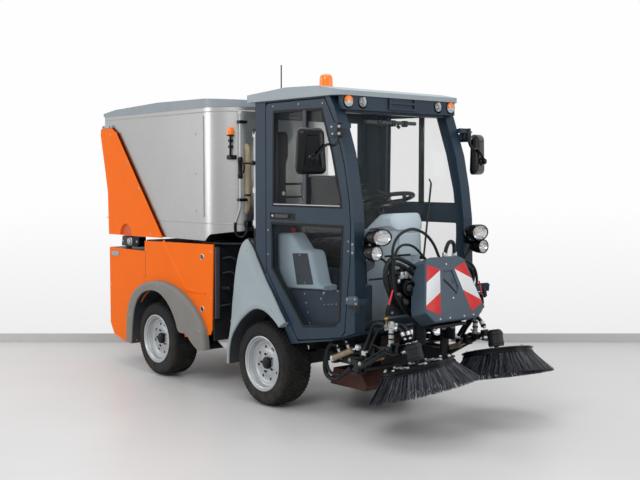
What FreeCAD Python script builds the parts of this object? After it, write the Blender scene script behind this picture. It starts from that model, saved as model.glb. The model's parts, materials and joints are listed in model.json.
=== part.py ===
"""Compact road sweeper: an articulated machine with a glazed cab, a steel hopper and two front brushes.

Frame: X forward, Y to the left, Z up, the origin on the ground under the middle of the machine.
Every piece is drawn from the front axle (X) and from the ground (Z), then moved forward by front_axle_x.
"""
import FreeCAD, Part
import math
import os
import Sketcher
from types import SimpleNamespace

Vector = FreeCAD.Vector

# Driving sizes in millimetres. X places are measured from the front axle and Z places from the ground.
SIZES = dict(
    # Datum and wheels
    front_axle_x=314, wheelbase=1260, wheel_side=455, tyre_radius=267, tyre_width=206, bead_radius=152,
    rim_lip_radius=172, rim_half_width=96, rim_wall=5, hub_dish=45, hub_hole_radius=30, hub_disc_wall=8,
    seat_gap=0.3, overrun=20, tread_half_width=80, shoulder_drop=20, sidewall_radius=205,
    # Axles
    motor_radius=70, motor_length=130, axle_beam_half=38, spindle_length=26, spindle_radius=29.5,
    # Frames and articulation
    rail_side=115, rail_half_width=25, rail_bottom=330, rail_height=80, pivot_x=-460, pivot_radius=28,
    yoke_half_width=95, yoke_plate=22, yoke_bottom=345, yoke_top=610, yoke_reach=70, yoke_clearance=1,
    front_rail_ahead=105, front_rail_rear=-300, rear_rail_front=-560, rail_end_ahead=70,
    rear_rail_side=235, bulkhead_x=-600, bulkhead_wall=8, bulkhead_half_width=506,
    # Cab shell
    cab_rear=-130, cab_nose=800, cab_base=416, cab_top=1896, cab_half_width=500, frame_outer_depth=40,
    frame_inner_depth=30, rebate=26, door_gap=7, door_thickness=38, door_frame=62, glass_wall=5,
    pillar_in=-80, pillar_wall=64, sill_cross=40, rear_wall=24, floor_wall=16,
    floor_step_x=318, floor_high=622, cab_floor_in=-72, narrow_floor_in=-145, header_depth=70,
    header_height=95, corner_radius=28, window_radius=26,
    # Roof
    roof_behind=-60, roof_ahead=-124, roof_out=20, roof_edge=46, roof_crown=24, roof_corner=70,
    visor_drop=-81, visor_in=-30, visor_reach=41, visor_depth=34, lamp_radius=36,
    outer_lamp_in=-70, inner_lamp_in=-182, roof_lamp_drop=-38, lamp_proud=16,
    beacon_x=-30, beacon_radius=47, beacon_height=120, beacon_base=26, beacon_base_radius=56,
    antenna_x=-120, antenna_side=-300, antenna_radius=4, antenna_height=200,
    plate_frame_drop=70, plate_frame_half=105, plate_frame_bar=12,
    # Door hinges and mirrors
    hinge_out=40, hinge_low_ahead=62, hinge_low_z=715, hinge_high_ahead=-78, hinge_high_z=1702,
             hinge_pin_radius=8,
    hinge_knuckle=15, hinge_half_height=32, hinge_leaf=6, hinge_leaf_length=110, hinge_play=3,
    mirror_ahead=-128, mirror_out=200, mirror_z=1570, mirror_width=180, mirror_height=258, mirror_depth=42,
    mirror_arm_radius=9, mirror_arm_drop=92, mirror_ball_rise=40, mirror_corner=24, handle_x=20,
    handle_length=240, handle_z=1172, handle_height=40, handle_depth=14,
    # Cab inside
    seat_x=40, seat_width=440, seat_length=440, seat_base=868, seat_cushion=110, seat_back_height=640,
    seat_back_depth=95, seat_box_in=-250, seat_box_front=330, console_in=-170, console_wall=90,
    column_half_width=130, steering_radius=180, steering_rim=13,
    steering_hub=34, column_radius=20,
    # Front fenders
    fender_rear=-383, fender_front=205, fender_low=216, fender_peak=1042, fender_lip_out=56,
    fender_inner_in=-138, fender_wall=6, arch_x=12, arch_z=282, arch_radius=332,
    # Lamps on the cab front
    headlamp_ahead=139, headlamp_in=-92, headlamp_z=1085, headlamp_radius=56, headlamp_length=96,
    work_lamp_ahead=129, work_lamp_in=-56, work_lamp_z=998, work_lamp_radius=43, work_lamp_length=70,
    lamp_arm_radius=10,
    # Front cover and hydraulic block
    cover_ahead=326, cover_bottom=617, cover_height=371, cover_depth=115, cover_wall=5, cover_top_half=109,
    cover_shoulder_half=169, cover_wide_half=248, cover_low_half=182, cover_slot_half=28,
    cover_slot_height=160, block_rear_ahead=105, block_front_ahead=200, block_half_width=95, block_top=880,
    carrier_wall=16, wiper_side=60, wiper_radius=6, wiper_seat=1,
    # Lance and washer tubes behind the cab
    tube_in=-76, washer_tube_ahead=-102, washer_tube_above=58, washer_tube_high=1740, tube_radius=12,
    tube_clip=22, reel_radius=118, reel_ahead=-75, reel_in=-200, reel_z=1740,
    lance_x=-405, lance_low=1120, lance_high=1865, lance_radius=10,
    # Rear hood
    hood_ahead=62, hood_front=-585, hood_low=174, hood_top=980, hood_half_width=515, hood_wall=8,
    hood_step_z=889, hood_step_x=-1472, deck_wall=12, deck_drop=9, rear_arch_x=-1283, rear_arch_z=283,
    rear_arch_radius=333, rear_fender_rear=-1715, rear_fender_front=-645, rear_fender_low=182,
    rear_fender_high=690, rear_fender_side=556, rear_flare_inset=55, liner_wall=6, liner_inner_side=345,
    engine_ahead=230, engine_front=-1300, engine_half_width=230, engine_top=840,
    grille_half_width=330, grille_low=420, grille_high=830, grille_wall=14,
    tail_lamp_side=440, tail_lamp_width=70, tail_lamp_height=180, tail_lamp_depth=24, tail_lamp_z=560,
    bumper_height=90, bumper_depth=46, bumper_half_width=480, bumper_z=300, tow_eye_reach=22, tow_eye_half=28,
    tow_eye_wall=20, tow_hole_radius=14,
    # Hopper
    hopper_front=-420, hopper_rear=-2072, hopper_floor=1000, hopper_top=1893, hopper_half_width=508,
    hopper_wall=6, hopper_corner=280, lid_ahead=-8, lid_height=67, lid_out=6,
    tilt_ahead=122, tilt_z=948, tilt_radius=14, tilt_lug=16, tilt_side=380, tilt_lug_half=31,
    hatch_ahead=-37, hatch_top=1801, hatch_low=990, hatch_front=-1210, hatch_out=19,
    hatch_wall=6, hatch_gap=12, hatch_hinge_ahead=-20, hatch_hinge_z=1826, hatch_hinge_radius=10,
    hatch_lug_side=400, pocket_ahead=378, pocket_radius=92,
    # Sweeping gear
    lift_x=420, lift_z=352, lift_pin_radius=12, lift_beam_half=22, lift_beam_side=315, lift_arm_side=346,
    lift_arm_half=9, lift_arm_height=52, swing_x=700, swing_z=330, swing_radius=24, swing_pin_radius=12,
    swing_height=84, arm_half_width=20, brush_ahead=333, brush_side=340, brush_z=408,
    brush_ring_radius=212, brush_tip_radius=314, brush_drop=159, brush_plate=26,
    motor_height=84, brush_motor_radius=46, shaft_radius=13, brush_clearance=6,
    mouth_rear=350, mouth_front=680, mouth_half_width=290, mouth_low=165, mouth_high=268, mouth_wall=8,
    mouth_chamfer=60, sleeve_half_length=62, sleeve_half_width=80, sleeve_wall=6, sleeve_top=436,
    duct_clearance=0.5, duct_top=461, duct_wall=5,
)

# Places that follow another size: what they follow, and the size that is added to it.
TIES = dict(
    hinge_side=("cab_half_width", "hinge_out"), hinge_low_x=("cab_nose", "hinge_low_ahead"),
    hinge_high_x=("cab_nose", "hinge_high_ahead"), mirror_x=("cab_nose", "mirror_ahead"),
    mirror_side=("cab_half_width", "mirror_out"), pillar_inner_side=("cab_half_width", "pillar_in"),
    console_inner=("cab_half_width", "console_in"), cab_floor_half=("cab_half_width", "cab_floor_in"),
    cab_floor_narrow=("cab_half_width", "narrow_floor_in"),
    seat_box_half=("cab_half_width", "seat_box_in"), roof_half_width=("cab_half_width", "roof_out"),
    roof_front=("cab_nose", "roof_ahead"), roof_rear=("cab_rear", "roof_behind"),
    visor_bottom=("cab_top", "visor_drop"), roof_lamp_z=("cab_top", "roof_lamp_drop"),
    visor_half_width=("cab_half_width", "visor_in"), reel_side=("cab_half_width", "reel_in"),
    outer_lamp_side=("cab_half_width", "outer_lamp_in"),
    inner_lamp_side=("cab_half_width", "inner_lamp_in"),
    headlamp_side=("cab_half_width", "headlamp_in"), work_lamp_side=("cab_half_width", "work_lamp_in"),
    headlamp_x=("cab_nose", "headlamp_ahead"), work_lamp_x=("cab_nose", "work_lamp_ahead"),
    cover_x=("cab_nose", "cover_ahead"), block_rear=("cab_nose", "block_rear_ahead"),
    block_front=("cab_nose", "block_front_ahead"), front_rail_front=("cab_nose", "front_rail_ahead"),
    brush_x=("cab_nose", "brush_ahead"), hood_rear=("hopper_rear", "hood_ahead"),
    rear_rail_end=("hopper_rear", "rail_end_ahead"), engine_rear=("hood_rear", "engine_ahead"),
    fender_lip_side=("cab_half_width", "fender_lip_out"),
    fender_inner_side=("cab_half_width", "fender_inner_in"), tube_side=("cab_half_width", "tube_in"),
    washer_tube_x=("cab_rear", "washer_tube_ahead"), reel_x=("cab_rear", "reel_ahead"),
    washer_tube_low=("fender_peak", "washer_tube_above"), hatch_rear=("hopper_rear", "hatch_ahead"),
    hatch_hinge_x=("hopper_rear", "hatch_hinge_ahead"), pocket_x=("hatch_rear", "pocket_ahead"),
    lid_rear=("hopper_rear", "lid_ahead"), tilt_x=("hopper_rear", "tilt_ahead"),
    lid_half_width=("hopper_half_width", "lid_out"), hatch_half_width=("hopper_half_width", "hatch_out"),
)

# Leaning angles in degrees.
COVER_LEAN = 16.6
MIRROR_TOE = 20
STEERING_LEAN = 13.6

# How much each brush rises forwards and inwards, as slopes.
BRUSH_RISE = 0.275
BRUSH_CANT = 0.1

# Where the steering wheel stands in the cab, as shares of its length and height.
STEERING_SHARES = (0.6957, 0.58986)

# Outlines in the XZ plane, as shares of the length and height of what they belong to.
SILHOUETTE_SHARES = [(0.0, 1.0), (0.0, 0.347), (0.384, 0.0), (0.776, 0.043), (1.0, 0.091), (1.0, 0.293),
                     (0.991, 0.512), (0.963, 0.638), (0.916, 0.775), (0.81, 0.953), (0.765, 1.0)]
DOOR_SHARES = [(0.119, 0.99), (0.119, 0.297), (0.455, 0.022), (0.86, 0.062), (0.905, 0.088), (0.925, 0.219),
               (0.953, 0.357), (0.957, 0.497), (0.944, 0.595), (0.897, 0.736), (0.812, 0.892), (0.72, 0.99)]
UPPER_WINDOW_SHARES = [(0.201, 0.955), (0.69, 0.95), (0.79, 0.78), (0.868, 0.6), (0.875, 0.568),
                       (0.192, 0.568)]
LOWER_WINDOW_SHARES = [(0.175, 0.493), (0.888, 0.493), (0.88, 0.36), (0.86, 0.13), (0.81, 0.105),
                       (0.508, 0.082),
                       (0.18, 0.305)]
SCREEN_SHARES = [(0.79, 0.93), (0.855, 0.8), (0.91, 0.66), (0.948, 0.53), (0.97, 0.36), (0.985, 0.19),
                 (0.99, 0.115)]
FLOOR_FRONT_SHARES = [(0.776, 0.052), (0.962, 0.0869)]
COLUMN_SHARES = [(0.69, 0.0456), (0.64, 0.37), (0.66, 0.478), (0.77, 0.53), (0.91, 0.54), (0.935, 0.5),
                 (0.93, 0.37), (0.87, 0.0699), (0.776, 0.0523)]
CONSOLE_SHARES = [(0.165, 0.1395), (0.18, 0.43), (0.28, 0.432), (0.375, 0.375), (0.48, 0.362),
                  (0.498, 0.1395)]
FENDER_SHARES = [(0.303, 1.0), (0.355, 0.965), (0.58, 0.79), (0.7, 0.68), (0.81, 0.557), (0.9, 0.47),
                 (0.985, 0.39), (0.94, 0.36), (0.5, 0.1), (0.141, 0.0), (0.0, 0.0), (0.0, 0.114),
                 (0.053, 0.229), (0.1, 0.37), (0.124, 0.544), (0.126, 0.695), (0.145, 0.828), (0.184, 0.931),
                 (0.235, 0.979)]
HOOD_SHARES = [(0.0, 0.884), (0.0, 0.158), (0.039, 0.054), (0.168, 0.0), (0.97, 0.24), (0.985, 0.286),
               (1.0, 1.0), (0.373, 0.977), (0.373, 0.884)]
REAR_FENDER_SHARES = [(0.0, 0.016), (0.012, 0.35), (0.03, 0.528), (0.07, 0.705), (0.148, 0.848),
                      (0.257, 0.941), (0.388, 0.992), (0.506, 0.992), (0.64, 0.941), (0.757, 0.843),
                      (0.855, 0.715), (0.93, 0.577), (0.981, 0.429), (1.0, 0.157), (0.93, 0.134),
                      (0.762, 0.232), (0.079, 0.006)]
HATCH_SHARES = [(0.007, 1.0), (0.199, 1.0), (0.262, 0.955), (1.0, 0.006), (0.125, 0.0), (0.115, 0.4),
                (0.066, 0.64),
                (0.0, 0.94)]
HOPPER_SHARES = [(0.0, 1.0), (0.0, 0.9), (0.053, 0.336), (0.06, 0.0), (0.835, 0.0), (0.865, 0.05),
                 (1.0, 0.084),
                 (1.0, 1.0)]
LID_SHARES = [(0.0, 0.0), (0.0, 0.37), (0.11, 0.7), (0.48, 1.0), (0.84, 0.9), (1.0, 0.66), (1.0, 0.0)]


class Length:
    """A length in millimetres together with the formula that binds a property to the sheet."""

    def __init__(self, value, formula):
        self.value = value
        self.formula = formula

    def __add__(self, other):
        return Length(self.value + other.value, f"({self.formula} + {other.formula})")

    def __sub__(self, other):
        return Length(self.value - other.value, f"({self.formula} - {other.formula})")

    def __neg__(self):
        return Length(-self.value, f"(0 - {self.formula})")

    def __mul__(self, number):
        return Length(self.value * number, f"({self.formula} * {number:.8g})")

    def __truediv__(self, number):
        return self * (1 / number)

    __rmul__ = __mul__


def fill_sheet(document):
    """Write every size to the sheet and return them as lengths."""
    sheet = document.addObject("Spreadsheet::Sheet", "Dims")
    lengths = SimpleNamespace()
    for row, (name, value) in enumerate(SIZES.items(), 1):
        sheet.set(f"A{row}", name)
        sheet.set(f"B{row}", str(value))
        sheet.setAlias(f"B{row}", name)
        setattr(lengths, name, Length(float(value), f"Dims.{name}"))
    for name, (base, step) in TIES.items():
        setattr(lengths, name, getattr(lengths, base) + getattr(lengths, step))
    document.recompute()
    return lengths


doc = FreeCAD.newDocument("road_sweeper")
S = fill_sheet(doc)
ZERO = Length(0.0, "0")
ACROSS_X = FreeCAD.Rotation(Vector(0, 1, 0), 90)
ACROSS_Y = FreeCAD.Rotation(Vector(1, 0, 0), -90)
UPRIGHT = FreeCAD.Rotation()
NODES = []


def bind(feature, **properties):
    """Bind properties such as Length or Placement_Base_x to lengths."""
    for name, length in properties.items():
        feature.setExpression(name.replace("_", "."), length.formula)


def place(feature, x=ZERO, y=ZERO, z=ZERO, turn=UPRIGHT):
    """Turn a feature and bind its place."""
    feature.Placement = FreeCAD.Placement(Vector(x.value, y.value, z.value), turn)
    bind(feature, Placement_Base_x=x, Placement_Base_y=y, Placement_Base_z=z)
    return feature


def between(low, high, share):
    """The place a share of the way from low to high."""
    return low + (high - low) * share


def shares_in(shares, low, high, bottom, top):
    """Turn a list of shares into points in the rectangle they follow."""
    return [(between(low, high, across), between(bottom, top, up)) for across, up in shares]


def inset(outline, distance):
    """Move every side of a closed outline inwards by a distance."""
    turning = sum(a[0].value * b[1].value - b[0].value * a[1].value
                  for a, b in zip(outline, outline[1:] + outline[:1]))
    side = 1 if turning > 0 else -1
    moved = []
    for index, (x, z) in enumerate(outline):
        before, after = outline[index - 1], outline[(index + 1) % len(outline)]
        first = Vector(x.value - before[0].value, z.value - before[1].value, 0).normalize()
        second = Vector(after[0].value - x.value, after[1].value - z.value, 0).normalize()
        normal = Vector(-first.y - second.y, first.x + second.x, 0) * side
        scale = 2 / normal.dot(normal)
        moved.append((x + distance * (normal.x * scale), z + distance * (normal.y * scale)))
    return moved


def origin_plane(body, role):
    """The plane of a body's own origin that has this role."""
    return [plane for plane in body.Origin.OriginFeatures if plane.Role == role][0]


def outline_sketch(owner, role, outline):
    """A closed sketch whose corners are all bound to the sheet."""
    sketch = owner.newObject("Sketcher::SketchObject", "Outline")
    sketch.AttachmentSupport = [(origin_plane(owner, role), "")]
    sketch.MapMode = "FlatFace"
    count = len(outline)
    corners = [Vector(x.value, z.value, 0) for x, z in outline]
    for index in range(count):
        sketch.addGeometry(Part.LineSegment(corners[index], corners[(index + 1) % count]), False)
    for index in range(count):
        sketch.addConstraint(Sketcher.Constraint("Coincident", index, 2, (index + 1) % count, 1))
    for index, point in enumerate(outline):
        for kind, length in zip(("DistanceX", "DistanceY"), point):
            number = sketch.addConstraint(Sketcher.Constraint(kind, -1, 1, index, 1, length.value))
            sketch.setExpression(f"Constraints[{number}]", length.formula)
    return sketch


def round_edges(body, direction, radius, corners=None):
    """Round the straight edges of a body that run along a direction, at chosen corners or at all."""
    doc.recompute()
    base = body.Tip
    solid = base.Shape
    names = []
    for number, edge in enumerate(solid.Edges, 1):
        if edge.Curve.TypeId != "Part::GeomLine":
            continue
        along = (edge.Vertexes[-1].Point - edge.Vertexes[0].Point).normalize()
        if abs(along.dot(direction)) < 0.999:
            continue
        middle = edge.CenterOfMass
        if corners is None or any(is_near(middle, corner, direction) for corner in corners):
            names.append(f"Edge{number}")
    fillet = body.newObject("PartDesign::Fillet", "Rounding")
    fillet.Base = (base, names)
    bind(fillet, Radius=radius)
    return body


def is_near(point, corner, direction):
    """Whether a point lies on the edge drawn through an outline's corner."""
    across, up = corner[0].value, corner[1].value
    if abs(direction.y) == 1:
        return math.hypot(point.x - across, point.z - up) < 1
    if abs(direction.x) == 1:
        return math.hypot(point.y - across, point.z - up) < 1
    return math.hypot(point.x - across, point.y - up) < 1


def padded(role, outline, length):
    """A body with one outline padded by a length."""
    body = doc.addObject("PartDesign::Body", "Body")
    sketch = outline_sketch(body, role, outline)
    pad = body.newObject("PartDesign::Pad", "Pad")
    pad.Profile = sketch
    bind(pad, Length=length)
    return body


def side_panel(outline, inner, outer, radius=None, corners=None):
    """An XZ outline made solid between two Y places."""
    body = padded("XZ_Plane", outline, outer - inner)
    if radius is not None:
        round_edges(body, Vector(0, 1, 0), radius, corners)
    return place(body, y=outer)


def plan_panel(outline, low, high, radius=None, corners=None):
    """An XY outline made solid between two heights."""
    body = padded("XY_Plane", outline, high - low)
    if radius is not None:
        round_edges(body, Vector(0, 0, 1), radius, corners)
    return place(body, z=low)


def turned(role, outline):
    """A body of revolution about the upright axis of its sketch."""
    body = doc.addObject("PartDesign::Body", "Body")
    sketch = outline_sketch(body, role, outline)
    turning = body.newObject("PartDesign::Revolution", "Turning")
    turning.Profile = sketch
    turning.ReferenceAxis = (sketch, ["V_Axis"])
    turning.Angle = 360
    return body


def block(x, y, z):
    """A box from its low and high places along each axis."""
    feature = doc.addObject("Part::Box", "Block")
    bind(feature, Length=x[1] - x[0], Width=y[1] - y[0], Height=z[1] - z[0])
    return place(feature, x[0], y[0], z[0])


def centred(half):
    """The pair of places a half width each side of the middle."""
    return (-half, half)


def around(middle, half):
    """The pair of places a half width each side of a place."""
    return (middle - half, middle + half)


def disc(radius, length, x=ZERO, y=ZERO, z=ZERO, turn=UPRIGHT):
    """A cylinder that starts at a point and runs along its turned axis."""
    feature = doc.addObject("Part::Cylinder", "Round")
    bind(feature, Radius=radius, Height=length)
    return place(feature, x, y, z, turn)


def rod(radius, start, end):
    """A round bar from one point to another."""
    run = [b - a for a, b in zip(start, end)]
    vector = Vector(*[part.value for part in run])
    squares = " + ".join(f"({part.formula}) * ({part.formula})" for part in run)
    length = Length(vector.Length, f"sqrt({squares})")
    return disc(radius, length, *start, turn=FreeCAD.Rotation(Vector(0, 0, 1), vector))


def ball(radius, point):
    """A round end at a point."""
    feature = doc.addObject("Part::Sphere", "Ball")
    bind(feature, Radius=radius)
    return place(feature, *point)


def bent_bar(radius, points):
    """Round bars joined by round corners."""
    bars = [rod(radius, a, b) for a, b in zip(points, points[1:])]
    return fuse(*bars, *[ball(radius, point) for point in points[1:-1]])


def fuse(*features):
    """One shape from several that meet."""
    if len(features) == 1:
        return features[0]
    feature = doc.addObject("Part::MultiFuse", "Joined")
    feature.Shapes = list(features)
    return feature


def cut(base, *tools):
    """A shape less its tools."""
    feature = doc.addObject("Part::Cut", "Trimmed")
    feature.Base = base
    feature.Tool = fuse(*tools)
    return feature


def common(base, tool):
    """What two shapes share."""
    feature = doc.addObject("Part::Common", "Shared")
    feature.Base = base
    feature.Tool = tool
    return feature


def mirrored(feature):
    """The same piece on the other side."""
    mirror = doc.addObject("Part::Mirroring", "Opposite")
    mirror.Source = feature
    mirror.Normal = Vector(0, 1, 0)
    return mirror


def both(feature):
    """A piece and its mirror image."""
    return [feature, mirrored(feature)]


def group(*features):
    """Several shapes kept apart in one."""
    compound = doc.addObject("Part::Compound", "Group")
    compound.Links = list(features)
    return compound


def moved(feature, x=ZERO, y=ZERO, z=ZERO, turn=UPRIGHT):
    """A shape turned about the origin and then moved."""
    return place(group(feature), x, y, z, turn)


def node(name, *features):
    """A sub-part of the machine, moved from the axle's frame to the machine's."""
    piece = place(group(*features), x=S.front_axle_x)
    piece.Label = name
    NODES.append(piece)


def flared(outline, flare, inner, flat, outer):
    """A ruled solid that keeps its outline from inner to flat, and draws in by the flare to outer."""
    sections = doc.addObject("PartDesign::Body", "Body")
    sketches = []
    for shape, level in ((outline, inner), (outline, flat), (inset(outline, flare), outer)):
        sketch = outline_sketch(sections, "XZ_Plane", shape)
        sketch.setExpression(".AttachmentOffset.Base.z", (-level).formula)
        sketches.append(sketch)
    loft = sections.newObject("PartDesign::AdditiveLoft", "Loft")
    loft.Profile = sketches[0]
    loft.Sections = sketches[1:]
    loft.Ruled = True
    return sections


def cab_outline(shares):
    """Points given as shares of the cab's length and height."""
    return shares_in(shares, S.cab_rear, S.cab_nose, S.cab_base, S.cab_top)


def wheels():
    """Four tyres on dished rims."""
    half = S.tyre_width / 2
    tyre = [(S.bead_radius, -S.rim_half_width), (S.rim_lip_radius + S.seat_gap, -S.rim_half_width),
            (S.sidewall_radius, -half),
            (S.tyre_radius - S.shoulder_drop, -half * 0.95),
            (S.tyre_radius - S.shoulder_drop * 0.2, -S.tread_half_width),
            (S.tyre_radius, ZERO), (S.tyre_radius - S.shoulder_drop * 0.2, S.tread_half_width),
            (S.tyre_radius - S.shoulder_drop, half * 0.95), (S.sidewall_radius, half),
            (S.rim_lip_radius + S.seat_gap, S.rim_half_width), (S.bead_radius, S.rim_half_width)]
    lip = S.rim_half_width
    barrel = S.bead_radius - S.seat_gap
    disc_face = lip - S.hub_dish
    rim = [(S.rim_lip_radius, lip + S.seat_gap), (S.rim_lip_radius, lip + S.rim_wall),
           (barrel - S.rim_wall, lip + S.rim_wall),
           (barrel - S.rim_wall * 4, disc_face), (S.hub_hole_radius, disc_face),
           (S.hub_hole_radius, disc_face - S.hub_disc_wall),
           (barrel - S.rim_wall * 5, disc_face - S.hub_disc_wall),
           (barrel - S.rim_wall, -lip - S.rim_wall), (S.rim_lip_radius, -lip - S.rim_wall),
           (S.rim_lip_radius, -lip - S.seat_gap), (barrel, -lip - S.seat_gap), (barrel, lip + S.seat_gap)]
    for end, axle in (("front", ZERO), ("rear", -S.wheelbase)):
        for side, sign in (("left", 1), ("right", -1)):
            where = dict(x=axle, y=S.wheel_side * sign, z=S.tyre_radius)
            facing = UPRIGHT if sign > 0 else FreeCAD.Rotation(Vector(0, 0, 1), 180)
            node(f"tyre_{end}_{side}", place(turned("XY_Plane", tyre), **where, turn=facing))
            node(f"rim_{end}_{side}", place(turned("XY_Plane", rim), **where, turn=facing))


def axle(x):
    """A beam with a wheel motor and a spindle at each end."""
    flange = S.wheel_side + S.rim_half_width - S.hub_dish - S.hub_disc_wall - S.seat_gap
    beam = block(around(x, S.axle_beam_half), centred(flange - S.motor_length),
                 around(S.tyre_radius, S.axle_beam_half))
    ends = []
    for sign in (1, -1):
        turn = FreeCAD.Rotation(Vector(1, 0, 0), -90 * sign)
        ends.append(disc(S.motor_radius, S.motor_length, x, (flange - S.motor_length) * sign, S.tyre_radius,
                         turn))
        ends.append(disc(S.spindle_radius, S.spindle_length, x, flange * sign, S.tyre_radius, turn))
    return fuse(beam, *ends)


def frames():
    """Front and rear chassis, joined at the articulation pin."""
    rail_top = S.rail_bottom + S.rail_height
    rails = [block((S.front_rail_rear, S.front_rail_front), around(S.rail_side * sign, S.rail_half_width),
                   (S.rail_bottom, rail_top)) for sign in (1, -1)]
    hangers = [block(around(ZERO, S.axle_beam_half), around(S.rail_side * sign, S.rail_half_width),
                     (S.tyre_radius + S.axle_beam_half, S.rail_bottom)) for sign in (1, -1)]
    end_plate = block((S.front_rail_rear - S.yoke_plate, S.front_rail_rear),
                      centred(S.rail_side + S.rail_half_width),
                      (S.rail_bottom, S.yoke_top + S.yoke_plate))
    ears = [block((S.pivot_x - S.yoke_reach, S.front_rail_rear - S.yoke_plate),
                  centred(S.yoke_half_width * 0.7),
                  (low, low + S.yoke_plate)) for low in (S.yoke_bottom, S.yoke_top)]
    pin = disc(S.pivot_radius, S.yoke_top - S.yoke_bottom, S.pivot_x, ZERO, S.yoke_bottom)
    lift_beam = block(around(S.lift_x, S.lift_beam_half), centred(S.lift_beam_side),
                      around(S.lift_z, S.lift_beam_half))
    lift_pins = [disc(S.lift_pin_radius, (S.lift_arm_side + S.lift_arm_half) * 2 + S.hinge_play * 2, S.lift_x,
                      -(S.lift_arm_side + S.lift_arm_half) - S.hinge_play, S.lift_z, ACROSS_Y)]
    towers = [block((S.block_rear, S.block_rear + S.carrier_wall),
                    around(S.rail_side * sign, S.rail_half_width),
                    (S.rail_bottom, shelf_top())) for sign in (1, -1)]
    shelf = block((S.block_rear, S.cover_x - S.cover_depth * 0.5), centred(S.rail_side + S.rail_half_width),
                  (shelf_top() - S.carrier_wall, shelf_top()))
    hydraulics = block((S.block_rear, S.block_front), centred(S.block_half_width), (shelf_top(), S.block_top))
    middle = between(S.mouth_rear, S.mouth_front, 0.5)
    gap = S.sleeve_wall + S.duct_clearance
    inside = block(around(middle, S.sleeve_half_length - gap - S.duct_wall),
                   centred(S.sleeve_half_width - gap - S.duct_wall),
                   (S.mouth_low, S.duct_top + S.overrun))
    duct = block(around(middle, S.sleeve_half_length - gap), centred(S.sleeve_half_width - gap),
                 (S.mouth_high - S.mouth_wall / 2, S.duct_top))
    flange = block(around(middle, S.sleeve_half_length * 0.4), centred(S.rail_side + S.rail_half_width),
                   (S.duct_top - S.carrier_wall, S.duct_top))
    legs = [block(around(middle, S.sleeve_half_length * 0.4), around(S.rail_side * sign, S.rail_half_width),
                  (rail_top, S.duct_top))
            for sign in (1, -1)]
    node("front_frame", fuse(*rails, *hangers, end_plate, *ears, pin, lift_beam, *lift_pins, *towers, shelf,
                             hydraulics,
                             cut(fuse(duct, flange, *legs), inside)))

    rear_rails = [block((S.rear_rail_end, S.rear_rail_front),
                        around(S.rear_rail_side * sign, S.rail_half_width),
                        (S.rail_bottom, rail_top)) for sign in (1, -1)]
    rear_hangers = [block(around(-S.wheelbase, S.axle_beam_half),
                          around(S.rear_rail_side * sign, S.rail_half_width),
                          (S.tyre_radius + S.axle_beam_half, S.rail_bottom)) for sign in (1, -1)]
    cross = [block(around(x, S.rail_half_width), centred(S.rear_rail_side), (S.rail_bottom, rail_top))
             for x in (S.rear_rail_front - S.rail_half_width, S.rear_rail_end + S.rail_half_width,
                       S.engine_front, S.engine_rear)]
    hub_low = S.yoke_bottom + S.yoke_plate + S.yoke_clearance
    hub_high = S.yoke_top - S.yoke_clearance
    knuckle = cut(fuse(disc(S.pivot_radius * 2, hub_high - hub_low, S.pivot_x, ZERO, hub_low),
                       block((S.rear_rail_front - S.rail_half_width, S.pivot_x),
                             centred(S.pivot_radius * 1.6),
                             (hub_low, hub_high))),
                  disc(S.pivot_radius + S.seat_gap, hub_high, S.pivot_x, ZERO, hub_low - S.overrun))
    bulkhead = block((S.bulkhead_x, S.bulkhead_x + S.bulkhead_wall), centred(S.bulkhead_half_width),
                     (S.rail_bottom, S.hood_top - S.deck_wall * 2))
    tilt_beam = block(around(S.tilt_x, S.tilt_lug_half), centred(S.tilt_side + S.tilt_lug / 2),
                      (S.rail_bottom, rail_top))
    node("rear_frame", fuse(*rear_rails, *rear_hangers, *cross, knuckle, bulkhead, tilt_beam,
                            *tilt_lugs(ZERO)))


def tilt_lugs(clearance):
    """The two upright lugs that carry the hopper's pins, or the holes round them."""
    pieces = []
    half = S.tilt_lug / 2 + clearance
    for sign in (1, -1):
        side = S.tilt_side * sign
        pieces.append(block(around(S.tilt_x, S.tilt_lug_half + clearance), around(side, half),
                            (S.rail_bottom + S.rail_height, S.tilt_z)))
        pieces.append(disc(S.tilt_lug_half + clearance, half * 2, S.tilt_x, side - half, S.tilt_z, ACROSS_Y))
        reach = (S.tilt_lug * 2 + S.seat_gap) * sign
        pieces.append(rod(S.tilt_radius, (S.tilt_x, side, S.tilt_z), (S.tilt_x, side + reach, S.tilt_z)))
    return pieces


def shelf_top():
    """Where the leaning cover's rear edge stands on the front carrier."""
    return S.cover_bottom - S.cover_depth * math.sin(math.radians(COVER_LEAN)) - S.seat_gap


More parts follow.
